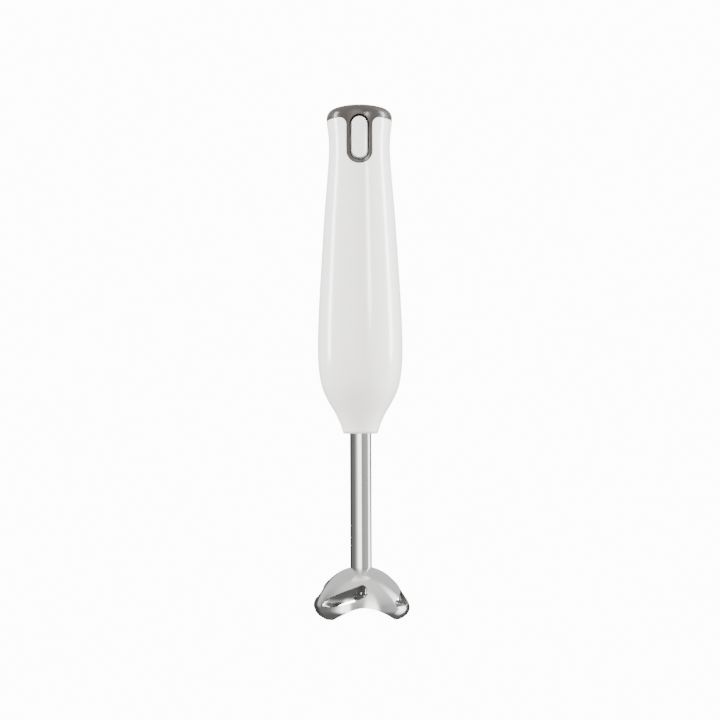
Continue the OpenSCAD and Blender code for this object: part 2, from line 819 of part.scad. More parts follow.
module lower_motor_bracket() {
    color([0.2, 0.2, 0.22]) motor_bracket(lower_plate_r, lower_plate_z, false);
}

module upper_damper() {
    color([0.05, 0.05, 0.05]) ring(upper_plate_r + damper_w, upper_plate_r, upper_plate_z, plate_t);
}

module lower_damper() {
    color([0.05, 0.05, 0.05]) ring(lower_plate_r + damper_w, lower_plate_r, lower_plate_z, plate_t);
}

module motor_screws() {
    color([0.7, 0.7, 0.68]) for (s = [-1, 1])
        translate([0, s * motor_screw_y, upper_plate_z + plate_t]) rotate([180, 0, 0])
            pan_screw(upper_plate_z - lower_plate_z + 1);
}

module stator_core() {
    color([0.5, 0.5, 0.52]) translate([0, 0, stack_z]) linear_extrude(stack_length) difference() {
        union() {
            difference() {
                circle(r = stator_r);
                circle(r = yoke_r);
            }
            for (s = [-1, 1]) {
                translate([s * (yoke_r + shoe_r - 1) / 2, 0])
                    square([yoke_r - shoe_r + 2, pole_w], center = true);
                translate([0, s * motor_screw_y]) circle(r = lug_r);
            }
            intersection() {
                difference() {
                    circle(r = shoe_r);
                    circle(r = shoe_r - pole_shoe);
                }
                bow_tie(shoe_angle);
            }
        }
        for (s = [-1, 1]) translate([0, s * motor_screw_y]) circle(r = screw_r + slide_fit);
    }
}

// Coils round the two poles, kept between the shoes and the yoke
module field_coils() {
    color([0.72, 0.4, 0.2]) difference() {
        intersection() {
            ring(yoke_r - fit, shoe_r + fit, stack_z - coil_rise, stack_length + 2 * coil_rise);
            for (s = [-1, 1])
                translate([s * far / 2, 0, stack_z + stack_length / 2])
                    cube([far, 2 * coil_y, stack_length + 2 * coil_rise], center = true);
        }
        translate([0, 0, stack_z + stack_length / 2])
            cube([2 * far, pole_w + 2 * fit, stack_length + 2 * fit], center = true);
        translate([0, 0, stack_z + stack_length / 2]) cube([far / 8, 2 * far, 2 * far], center = true);
    }
}

module brush_holders() {
    y = brush_w / 2 + fit;
    h = brush_t / 2 + fit;
    top_z = brush_z + h + holder_wall;
    color([0.75, 0.6, 0.3]) for (s = [0, 180]) rotate([0, 0, s]) {
        difference() {
            translate([holder_start_x, -y - holder_wall, brush_z - h - holder_wall])
                cube([holder_end_x - holder_start_x, 2 * (y + holder_wall), 2 * (h + holder_wall)]);
            translate([holder_start_x - 1, -y, brush_z - h])
                cube([holder_end_x - holder_wall - holder_start_x + 1, 2 * y, 2 * h]);
        }
        translate([holder_start_x + 1, -2, top_z]) cube([4, 4, upper_plate_z - top_z]);
    }
}

module brushes() {
    color([0.12, 0.12, 0.13]) for (s = [-1, 1])
        translate([s * (commutator_r + slide_fit + brush_l / 2), 0, brush_z])
            cube([brush_l, brush_w, brush_t], center = true);
}

module brush_springs() {
    color([0.6, 0.6, 0.6]) for (s = [0, 180])
        rotate([0, 0, s]) translate([brush_end_x, 0, brush_z]) rotate([0, 90, 0])
            coil(1.8, 0.3, holder_end_x - holder_wall - brush_end_x, 4);
}

// Bearing with a recessed shield at each end
module bearing(z) {
    inner_r = motor_shaft_r + slide_fit;
    translate([0, 0, z]) difference() {
        cylinder(r = bearing_r, h = bearing_h);
        translate([0, 0, -1]) cylinder(r = inner_r, h = bearing_h + 2);
        for (t = [-1, bearing_h - 0.6]) translate([0, 0, t]) difference() {
            cylinder(r = bearing_r - 1.2, h = 1.6);
            translate([0, 0, -1]) cylinder(r = inner_r + 1.1, h = 4);
        }
    }
}

module upper_motor_bearing() {
    color([0.75, 0.75, 0.77]) bearing(upper_plate_z);
}

module lower_motor_bearing() {
    color([0.75, 0.75, 0.77]) bearing(lower_plate_z + plate_t - bearing_h);
}

module motor_shaft() {
    color([0.8, 0.8, 0.82]) translate([0, 0, upper_hub_z + 1])
        cylinder(r = motor_shaft_r, h = shaft_top_z - upper_hub_z - 1);
}

module armature_core() {
    color([0.5, 0.5, 0.52]) translate([0, 0, stack_z]) linear_extrude(stack_length) difference() {
        circle(r = armature_r);
        circle(r = motor_shaft_r);
        for (i = [0:slots - 1]) rotate(360 * i / slots) {
            translate([slot_at_r, 0]) circle(r = slot_r);
            translate([slot_at_r + 2, 0]) square([4, 0.9], center = true);
        }
    }
}

module armature_windings() {
    color([0.72, 0.4, 0.2]) {
        for (i = [0:slots - 1]) rotate(360 * i / slots) translate([slot_at_r, 0, stack_z])
            cylinder(r = slot_r - fit, h = stack_length);
        for (z = [stack_z, stack_top_z]) {
            up = z > stack_z ? 1 : -1;
            rotate_extrude() polygon([
                [motor_shaft_r + 0.8, z], [winding_r, z], [winding_r, z + up * (end_turn - 3)],
                [winding_r - 2, z + up * (end_turn - 1)], [motor_shaft_r + 2, z + up * (end_turn - 1)],
                [motor_shaft_r + 0.8, z + up * (end_turn - 2)],
            ]);
        }
    }
}

module commutator() {
    color([0.75, 0.45, 0.25]) difference() {
        union() {
            translate([0, 0, commutator_z]) cylinder(r = commutator_r, h = commutator_h);
            translate([0, 0, commutator_z]) cylinder(r = riser_r, h = 2);
        }
        translate([0, 0, commutator_z - 1]) cylinder(r = motor_shaft_r, h = commutator_h + 2);
        for (i = [0:slots - 1]) rotate(360 * (i + 0.5) / slots)
            translate([commutator_r - 1.5, -0.25, commutator_z - 1]) cube([3, 0.5, commutator_h + 2]);
    }
}

module cooling_fan() {
    color([0.25, 0.25, 0.28]) difference() {
        union() {
            translate([0, 0, fan_z]) cylinder(r = fan_hub_r, h = fan_h);
            translate([0, 0, fan_z + fan_h - 1.4]) cylinder(r = fan_r, h = 1.4);
            for (i = [0:fan_blades - 1]) rotate([0, 0, 360 * i / fan_blades])
                translate([fan_hub_r - 1, -0.6, fan_z]) cube([fan_r - fan_hub_r + 0.6, 1.2, fan_h - 1]);
        }
        translate([0, 0, fan_z - 1]) cylinder(r = motor_shaft_r, h = fan_h + 2);
    }
}

// ---- Drive line ----

// Pair of dogs at one side and the other of the axis, centred on an angle
module dogs(angle, z, h) {
    translate([0, 0, z]) linear_extrude(h) rotate(angle) intersection() {
        difference() {
            circle(r = dog_r);
            circle(r = dog_bore_r);
        }
        bow_tie(dog_angle / 2);
    }
}

module motor_coupling() {
    color([0.1, 0.1, 0.1]) difference() {
        union() {
            translate([0, 0, upper_hub_z]) cylinder(r = dog_r, h = coupling_h);
            dogs(0, dog_z + fit, dog_h);
        }
        translate([0, 0, upper_hub_z + 1]) cylinder(r = motor_shaft_r, h = coupling_h);
    }
}

module shaft_coupling() {
    color([0.85, 0.85, 0.82]) difference() {
        union() {
            translate([0, 0, lower_hub_z]) cylinder(r = dog_r, h = coupling_h);
            dogs(90, dog_z - 1, dog_h + 1 - fit);
        }
        translate([0, 0, lower_hub_z - 1]) cylinder(r = shaft_r, h = coupling_h);
    }
}

module drive_shaft() {
    color([0.8, 0.8, 0.82]) translate([0, 0, shaft_end_z])
        cylinder(r = shaft_r, h = lower_hub_z + coupling_h - 1 - shaft_end_z);
}

module thrust_washer() {
    color([0.85, 0.8, 0.6]) ring(hub_r + 1, shaft_r, hub_top_z, washer_t);
}

module leg_socket() {
    color([0.2, 0.2, 0.22]) difference() {
        union() {
            translate([0, 0, socket_z]) cylinder(r = socket_r, h = socket_h);
            translate([0, 0, socket_top_z - socket_flange_t])
                cylinder(r = socket_flange_r, h = socket_flange_t);
        }
        translate([0, 0, socket_z - 1]) cylinder(r = tube_r, h = socket_h + 2);
    }
}

module leg_tube() {
    color([0.8, 0.8, 0.82]) ring(tube_r, tube_bore_r, tube_end_z, socket_top_z - tube_end_z);
}

module upper_leg_bush() {
    color([0.75, 0.6, 0.35]) ring(tube_bore_r, shaft_r + slide_fit, socket_top_z - 12, 12);
}

module lower_leg_bush() {
    color([0.75, 0.6, 0.35]) ring(bush_r, shaft_r + slide_fit, nose_z + 4, 14);
}

// Closes the foot of the tube and holds the lower bush and the seal
module bearing_carrier() {
    color([0.15, 0.15, 0.16]) difference() {
        union() {
            translate([0, 0, nose_z]) cylinder(r = nose_r, h = tube_end_z - nose_z);
            translate([0, 0, tube_end_z - 3]) cylinder(r = carrier_r, h = 3);
            translate([0, 0, tube_end_z]) cylinder(r = tube_bore_r, h = nose_z + 18 - tube_end_z);
        }
        translate([0, 0, nose_z - 1]) cylinder(r = shaft_r + fit, h = 30);
        translate([0, 0, nose_z + 4]) cylinder(r = bush_r, h = 30);
        translate([0, 0, nose_z - 1]) cylinder(r = seal_r, h = 3.6);
    }
}

module shaft_seal() {
    color([0.35, 0.1, 0.08]) ring(seal_r, shaft_r + slide_fit, nose_z + 0.4, 2.2);
}

// ---- Bell and blade ----

module bell_sheet() {
    loop = 2 * (bell_rows + 1);
    polyhedron(
        points = [
            for (k = [0:bell_columns - 1]) let (a = 360 * k / bell_columns) each [
                for (i = [0:bell_rows]) around(a, bell_point(a, i)),
                for (i = [bell_rows:-1:0]) around(a, bell_inner_point(a, i)),
            ]
        ],
        faces = [
            for (k = [0:bell_columns - 1], i = [0:loop - 1])
                let (n = (k + 1) % bell_columns, j = (i + 1) % loop)
                each [
                    [k * loop + i, n * loop + i, n * loop + j],
                    [k * loop + i, n * loop + j, k * loop + j],
                ]
        ]
    );
}

// One round-ended cutter through the sheet, at a point part of the way along a slot
module slot_cutter(s) {
    i = min(floor(s), len(slot_stops) - 2);
    p = slot_stops[i] + (slot_stops[i + 1] - slot_stops[i]) * (s - i);
    rotate([0, 0, p[0] + bell_turn]) translate([0, 0, p[1] * bell_height]) rotate([90, 0, 0])
        translate([0, 0, nose_r + 6]) cylinder(r = p[2], h = bell_lobe_r, $fn = 20);
}

module bell_guard() {
    last = len(slot_stops) - 1;
    color([0.8, 0.8, 0.82]) difference() {
        bell_sheet();
        for (q = [0:bell_lobes - 1], t = [0:slot_steps - 1]) rotate([0, 0, 360 * q / bell_lobes]) hull() {
            slot_cutter(last * t / slot_steps);
            slot_cutter(last * (t + 1) / slot_steps);
        }
    }
}

module blade_hub() {
    color([0.8, 0.8, 0.82]) difference() {
        union() {
            translate([0, 0, blade_top_z]) cylinder(r = hub_r, h = hub_top_z - blade_top_z);
            translate([0, 0, blade_top_z]) cylinder(r = hub_r + 1.5, h = 2);
        }
        translate([0, 0, blade_top_z - 1]) cylinder(r = shaft_r, h = far);
    }
}

// Two wings: one tip is bent up and the other down. At rest they point to the front and the back.
module blade() {
    root = blade_r * 0.62;
    tip = blade_r - root;
    color([0.8, 0.8, 0.82]) rotate([0, 0, 90]) difference() {
        union() {
            translate([0, 0, blade_z]) linear_extrude(blade_t) {
                circle(r = hub_r + 1.5);
                for (s = [0, 180]) rotate(s)
                    polygon([
                        [0, -5.6], [root * 0.6, -5.2], [root, -3.4],
                        [root, 3.6], [root * 0.4, 6], [0, 5.6],
                    ]);
            }
            for (s = [0, 1]) rotate([0, 0, 180 * s]) translate([root - 0.4, 0, blade_z + s * blade_t])
                rotate([0, s ? -28 : 28, 0]) translate([0, 0, s ? -blade_t : 0]) linear_extrude(blade_t)
                    polygon([[0, -3.4], [tip * 0.7, -2.4], [tip, 0.4], [tip * 0.8, 2.4], [0, 3.6]]);
        }
        translate([0, 0, blade_z - 1]) cylinder(r = shaft_r, h = blade_t + 2);
    }
}

module blade_nut() {
    color([0.8, 0.8, 0.82]) difference() {
        translate([0, 0, blade_z - nut_h]) cylinder(r = shaft_r + 2, h = nut_h, $fn = 6);
        translate([0, 0, blade_z - nut_h - 1]) cylinder(r = shaft_r, h = nut_h + 2);
    }
}

front_shell();
rear_shell();
top_cap();
button_seal();
power_button();
button_spring();
switch_bracket();
bracket_screws();
switch_body();
switch_plunger();
switch_screws();
switch_terminals();
shell_screws();
cord_gland();
cord_clamp();
clamp_screws();
circuit_board();
board_screws();
terminal_block();
capacitor();
choke();
rectifier_diodes();
switch_wires();
brush_wires();
upper_motor_bracket();
lower_motor_bracket();
upper_damper();
lower_damper();
motor_screws();
stator_core();
field_coils();
brush_holders();
brushes();
brush_springs();
upper_motor_bearing();
lower_motor_bearing();
motor_shaft();
armature_core();
armature_windings();
commutator();
cooling_fan();
motor_coupling();
shaft_coupling();
drive_shaft();
thrust_washer();
leg_socket();
leg_tube();
upper_leg_bush();
lower_leg_bush();
bearing_carrier();
shaft_seal();
bell_guard();
blade_hub();
blade();
blade_nut();
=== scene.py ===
"""Hand-held immersion blender: smooth visible skins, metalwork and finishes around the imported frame.

Sizes in this file are millimetres until a mesh is written, when they become the frame's metres.
"""

import json
import logging
import math
from dataclasses import dataclass, field
from enum import Enum
from typing import Callable, Sequence

import bmesh
import bpy
import numpy as np
from mathutils import Matrix, Vector
from mathutils.geometry import delaunay_2d_cdt


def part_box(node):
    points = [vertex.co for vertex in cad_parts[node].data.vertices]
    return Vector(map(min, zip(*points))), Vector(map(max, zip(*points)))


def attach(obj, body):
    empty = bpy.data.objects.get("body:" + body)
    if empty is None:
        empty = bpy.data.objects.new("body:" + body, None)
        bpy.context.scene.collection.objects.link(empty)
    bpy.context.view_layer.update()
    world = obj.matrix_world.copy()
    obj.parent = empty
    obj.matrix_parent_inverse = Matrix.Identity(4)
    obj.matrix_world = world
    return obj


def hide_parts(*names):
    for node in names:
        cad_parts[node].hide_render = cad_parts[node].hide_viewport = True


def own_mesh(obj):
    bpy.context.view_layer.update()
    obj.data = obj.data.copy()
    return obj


LOG = logging.getLogger("blender_scene")
MM = 0.001

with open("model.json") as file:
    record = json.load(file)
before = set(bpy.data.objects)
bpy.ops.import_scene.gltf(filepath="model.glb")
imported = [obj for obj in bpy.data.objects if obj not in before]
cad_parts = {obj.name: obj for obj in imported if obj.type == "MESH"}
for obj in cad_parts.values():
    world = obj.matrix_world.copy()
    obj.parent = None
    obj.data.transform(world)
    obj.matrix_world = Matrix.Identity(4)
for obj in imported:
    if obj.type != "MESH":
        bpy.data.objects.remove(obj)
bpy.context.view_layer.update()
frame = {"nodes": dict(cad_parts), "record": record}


# ---------------------------------------------------------------- meshes

def box(node: str) -> tuple[tuple[float, ...], tuple[float, ...]]:
    """Lowest and highest corner of a node, in millimetres."""
    low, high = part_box(node)
    return tuple(v / MM for v in low), tuple(v / MM for v in high)


def linked(name: str, data: bpy.types.ID) -> bpy.types.Object:
    """Makes an object of a mesh, camera or light and links it to the scene."""
    made = bpy.data.objects.new(name, data)
    bpy.context.scene.collection.objects.link(made)
    return made


def unit(ways: np.ndarray) -> np.ndarray:
    """Scales each row to length 1."""
    return ways / np.maximum(np.linalg.norm(ways, axis=1, keepdims=True), 1e-9)


def round_axis(r: np.ndarray, turn: np.ndarray | float, z: np.ndarray) -> np.ndarray:
    """Points at a radius, a turn from the button side in radians, and a height."""
    return np.stack([r * np.sin(turn), -r * np.cos(turn), z], 1)


@dataclass
class Shape:
    """Faces gathered from several surfaces, welded where they meet, with a normal for each corner."""

    points: list[np.ndarray] = field(default_factory=list)
    faces: list[tuple[int, ...]] = field(default_factory=list)
    normals: list[np.ndarray] = field(default_factory=list)
    count: int = 0

    def add(self, points: np.ndarray, faces: Sequence[Sequence[int]], normals: np.ndarray) -> None:
        """Adds a surface.

        Args:
            points: Positions, one row for each vertex.
            faces: Vertex indices of each face, counted from 0 within this surface.
            normals: Normals, one row for each corner of each face in turn.
        """
        self.points.append(np.asarray(points, float))
        self.faces += [tuple(i + self.count for i in f) for f in faces]
        self.normals.append(np.asarray(normals, float))
        self.count += len(points)

    def add_smooth(self, points: np.ndarray, faces: Sequence[Sequence[int]], normals: np.ndarray) -> None:
        """Adds a surface whose normals are given for each vertex.

        Args:
            points: Positions, one row for each vertex.
            faces: Vertex indices of each face.
            normals: Normals, one row for each vertex.
        """
        self.add(points, faces, np.concatenate([normals[list(f)] for f in faces]))

    def to_object(self, name: str) -> bpy.types.Object:
        """Writes the shape as a mesh object at the origin.

        Args:
            name: Name of the object and of its mesh.

        Returns:
            The new object, linked to the scene.
        """
        points = np.concatenate(self.points)
        _, first, back = np.unique(np.round(points, 3), axis=0, return_index=True, return_inverse=True)
        back = back.reshape(-1)
        corners = np.concatenate(self.normals)
        faces, normals, at = [], [], 0
        for face in self.faces:
            near = corners[at:at + len(face)]
            at += len(face)
            kept = [(int(back[v]), n) for v, n in zip(face, near)]
            kept = [k for i, k in enumerate(kept) if k[0] != kept[i - 1][0]]
            if len({k[0] for k in kept}) < 3:
                continue
            faces.append([k[0] for k in kept])
            normals += [k[1] for k in kept]
        mesh = bpy.data.meshes.new(name)
        mesh.from_pydata((points[first] * MM).tolist(), [], faces)
        mesh.shade_smooth()
        mesh.normals_split_custom_set(unit(np.array(normals)).tolist())
        mesh.update()
        return linked(name, mesh)


def plain_object(name: str, points: Sequence, faces: Sequence, sharp: float = 35.0) -> bpy.types.Object:
    """Makes a mesh object whose faces are smooth up to an angle.

    Args:
        name: Name of the object.
        points: Positions in millimetres.
        faces: Vertex indices of each face.
        sharp: Angle in degrees past which an edge stays crisp.

    Returns:
        The new object, linked to the scene.
    """
    mesh = bpy.data.meshes.new(name)
    mesh.from_pydata((np.asarray(points, float) * MM).tolist(), [], [list(f) for f in faces])
    mesh.shade_smooth()
    mesh.set_sharp_from_angle(angle=math.radians(sharp))
    mesh.update()
    return linked(name, mesh)


def turned(profile: Sequence[tuple[float, float]], sides: int = 128) -> tuple[np.ndarray, list[list[int]]]:
    """Turns a closed profile about the Z axis.

    Args:
        profile: (radius, height) points round the section, counter-clockwise with radius to the right.
        sides: Number of segments round the axis.

    Returns:
        Positions and quads of the closed solid.
    """
    ring = np.array(profile)
    n = len(ring)
    turn = np.arange(sides) * 2 * math.pi / sides
    points = np.concatenate([round_axis(ring[:, 0], a, ring[:, 1]) for a in turn])
    faces = []
    for k in range(sides):
        m = (k + 1) % sides
        for i in range(n):
            j = (i + 1) % n
            faces.append([k * n + i, m * n + i, m * n + j, k * n + j])
    return points, faces


def arc(cx: float, cy: float, r: float, start: float, end: float, steps: int) -> list[tuple[float, float]]:
    """Points on an arc, from start to end in degrees, both included."""
    return [
        (cx + r * math.cos(math.radians(start + (end - start) * i / steps)),
         cy + r * math.sin(math.radians(start + (end - start) * i / steps)))
        for i in range(steps + 1)
    ]


def oblong(z: float, r: float, half: float, steps: int, level: bool = False) -> list[tuple[float, float]]:
    """Outline of a slot with round ends, upright or level.

    Args:
        z: Height of its middle.
        r: Radius of its ends.
        half: Distance from its middle to the middle of each end.
        steps: Number of segments round each end.
        level: Whether it lies across instead of upright.

    Returns:
        Its points, counter-clockwise.
    """
    if level:
        return arc(half, z, r, -90, 90, steps) + arc(-half, z, r, 90, 270, steps)
    return arc(0, z + half, r, 0, 180, steps) + arc(0, z - half, r, 180, 360, steps)


def dense(loop: Sequence, step: float, closed: bool = True) -> np.ndarray:
    """Adds points to a polyline so that no gap is longer than a step.

    Args:
        loop: Points of the polyline.
        step: Longest gap allowed.
        closed: Whether the last point joins the first.

    Returns:
        The points, one row each.
    """
    loop = np.asarray(loop, float)
    out = []
    for i in range(len(loop) if closed else len(loop) - 1):
        a, b = loop[i], loop[(i + 1) % len(loop)]
        n = max(1, math.ceil(np.linalg.norm(b - a) / step))
        out += [a + (b - a) * k / n for k in range(n)]
    if not closed:
        out.append(loop[-1])
    return np.array(out)


def inside(points: np.ndarray, loop: np.ndarray) -> np.ndarray:
    """Tells which points lie inside a closed loop, by the even-odd rule."""
    x, y = points[:, 0][:, None], points[:, 1][:, None]
    a, b = loop, np.roll(loop, -1, axis=0)
    cross = (a[:, 1] > y) != (b[:, 1] > y)
    rise = np.where(b[:, 1] == a[:, 1], 1e-12, b[:, 1] - a[:, 1])
    at = a[:, 0] + (y - a[:, 1]) * (b[:, 0] - a[:, 0]) / rise
    return (cross & (x < at)).sum(1) % 2 == 1


@dataclass
class Edge:
    """A real edge of a skin, drawn in the skin's own flat map."""

    line: np.ndarray
    closed: bool = True

    def segments(self) -> tuple[np.ndarray, np.ndarray]:
        """Start and end points of the edge's segments."""
        if self.closed:
            return self.line, np.roll(self.line, -1, axis=0)
        return self.line[:-1], self.line[1:]

    def sides(self) -> np.ndarray:
        """Unit vectors square to the edge at its points, to the left of the line."""
        line = self.line
        if self.closed:
            along = np.roll(line, -1, axis=0) - np.roll(line, 1, axis=0)
        else:
            along = np.vstack([line[1:], line[-1:]]) - np.vstack([line[:1], line[:-1]])
        return unit(np.stack([-along[:, 1], along[:, 0]], 1))


@dataclass
class Skin:
    """A wall of even thickness, laid out on a flat map, with rounded edges.

    Place takes arrays of u, v and depth below the outer face, and gives positions.
    """

    place: Callable[[np.ndarray, np.ndarray, np.ndarray], np.ndarray]
    outline: np.ndarray
    edges: list[Edge]
    rows: np.ndarray
    columns: np.ndarray
    holes: list[np.ndarray] = field(default_factory=list)
    thickness: float = 2.0
    outer_round: float = 0.3
    inner_round: float = 0.0
    ring_steps: int = 3
    step: float = 0.05
    margin: float = 0.35
    on_line: float = 1e-3
    block: int = 400

    def nearest(self, points: np.ndarray) -> tuple[np.ndarray, np.ndarray]:
        """Finds the nearest real edge.

        Args:
            points: Points on the flat map.

        Returns:
            The distance of each point, and the unit direction from each point to the edge.
        """
        starts, ends = zip(*(e.segments() for e in self.edges))
        a, b = np.concatenate(starts), np.concatenate(ends)
        best = np.full(len(points), 1e9)
        way = np.zeros((len(points), 2))
        for start in range(0, len(points), self.block):
            some = slice(start, start + self.block)
            p = points[some][:, None, :]
            d = b - a
            t = np.clip(((p - a) * d).sum(2) / np.maximum((d * d).sum(1), 1e-12), 0, 1)
            q = a + t[:, :, None] * d - p
            dist = np.linalg.norm(q, axis=2)
            k = dist.argmin(1)
            rows = np.arange(len(k))
            best[some] = dist[rows, k]
            way[some] = q[rows, k]
        on_edge = best < 1e-6
        return best, np.where(on_edge[:, None], 0, way / np.maximum(best, 1e-9)[:, None])

    def laid_out(self) -> tuple[np.ndarray, list[list[int]]]:
        """Triangulates the flat map.

        Returns:
            Points on the map and triangles.
        """
        radius = max(self.outer_round, self.inner_round)
        turns = [math.radians(90 * (i + 1) / self.ring_steps) for i in range(self.ring_steps)]
        offsets = [radius * (1 - math.cos(a)) for a in turns] if radius else []
        points, links = [], []

        def chain(line: np.ndarray, closed: bool, keep: np.ndarray) -> None:
            """Adds a line's points and the links between neighbours that are both kept."""
            start = len(points)
            index = {}
            for i in np.nonzero(keep)[0]:
                index[i] = start + len(index)
                points.append(line[i])
            n = len(line)
            for i in range(n if closed else n - 1):
                j = (i + 1) % n
                if i in index and j in index:
                    links.append((index[i], index[j]))

        chain(self.outline, True, np.ones(len(self.outline), bool))
        for hole in self.holes:
            chain(hole, True, np.ones(len(hole), bool))
        for edge in self.edges:
            side = self.inward(edge)
            for d in offsets:
                ring = edge.line + side * d
                dist, _ = self.nearest(ring)
                chain(ring, edge.closed, (dist > d * 0.97) & self.covers(ring))
        grid = np.array([(u, v) for v in self.rows for u in self.columns])
        grid = grid[self.covers(grid)]
        dist, _ = self.nearest(grid)
        grid = grid[dist > radius + self.margin]
        points += list(grid)
        got = delaunay_2d_cdt([tuple(map(float, p)) for p in points], links, [], 0, 1e-5, False)
        flat = np.array([tuple(p) for p in got[0]])
        tris = [list(f) for f in got[2]]
        middle = np.array([flat[f].mean(0) for f in tris])
        keep = self.covers(middle)
        tris = [f for f, k in zip(tris, keep) if k]
        return flat, [f if self.area(flat[f]) > 0 else f[::-1] for f in tris]

    @staticmethod
    def area(tri: np.ndarray) -> float:
        """Signed area of a triangle on the map."""
        (ax, ay), (bx, by), (cx, cy) = tri
        return ((bx - ax) * (cy - ay) - (by - ay) * (cx - ax)) / 2

    def covers(self, points: np.ndarray) -> np.ndarray:
        """Tells which points of the map are wall, not hole or outside."""
        keep = inside(points, self.outline)
        for hole in self.holes:
            keep &= ~inside(points, hole)
        return keep

    def inward(self, edge: Edge) -> np.ndarray:
        """Unit vectors from an edge's points into the wall."""
        side = edge.sides()
        return side if self.covers(edge.line + side * self.step).mean() > 0.5 else -side

    def build(self, shape: Shape) -> None:
        """Adds the wall's outer face, inner face and edges to a shape.

        Args:
            shape: The shape that takes the faces.
        """
        flat, tris = self.laid_out()
        u, v = flat.T
        face, step = np.zeros(len(u)), self.step
        along_u = unit(self.place(u + step, v, face) - self.place(u - step, v, face))
        along_v = unit(self.place(u, v + step, face) - self.place(u, v - step, face))
        normal = unit(np.cross(along_u, along_v))
        dist, way = self.nearest(flat)
        on_edge = dist < self.on_line
        way = self.edge_direction(flat, way, on_edge)
        outward = way[:, :1] * along_u + way[:, 1:] * along_v

        def rounded(radius: float) -> tuple[np.ndarray, np.ndarray]:
            """Sink and tilt of a rounded edge at each point."""
            if radius <= 0:
                return np.zeros(len(dist)), np.zeros(len(dist))
            lean = np.clip((radius - dist) / radius, 0, 1)
            return radius - np.sqrt(np.maximum(radius ** 2 - (lean * radius) ** 2, 0)), lean

        sink, lean = rounded(self.outer_round)
        outer = self.place(u, v, sink)
        outer_n = normal * np.sqrt(1 - lean ** 2)[:, None] + outward * lean[:, None]
        sink, lean = rounded(self.inner_round)
        inner = self.place(u, v, self.thickness - sink)
        inner_n = -normal * np.sqrt(1 - lean ** 2)[:, None] + outward * lean[:, None]
        shape.add_smooth(outer, tris, outer_n)
        shape.add_smooth(inner, [t[::-1] for t in tris], inner_n)
        uses: dict[tuple[int, int], int] = {}
        for t in tris:
            for i in range(3):
                a, b = t[i], t[(i + 1) % 3]
                uses[a, b] = uses.get((a, b), 0) + 1
        rim = [(a, b) for a, b in uses if (b, a) not in uses and on_edge[a] and on_edge[b]]
        if rim:
            both = np.concatenate([outer, inner])
            n = len(outer)
            walls = [[b, a, a + n, b + n] for a, b in rim]
            shape.add_smooth(both, walls, np.concatenate([outward, outward]))

    def edge_direction(self, flat: np.ndarray, way: np.ndarray, on_edge: np.ndarray) -> np.ndarray:
        """Gives the points that lie on an edge the direction in which they face.

        Args:
            flat: Points on the map.
            way: Direction to the nearest edge, zero on an edge.
            on_edge: Which points lie on an edge.

        Returns:
            The directions, with those on an edge filled in.
        """
        way = way.copy()
        spots = np.nonzero(on_edge)[0]
        if len(spots) == 0:
            return way
        for edge in self.edges:
            side = -self.inward(edge)
            for i in spots:
                d = np.linalg.norm(edge.line - flat[i], axis=1)
                k = int(d.argmin())
                if d[k] < self.on_line:
                    way[i] = side[k]
        return way


# ---------------------------------------------------------------- form of the grip

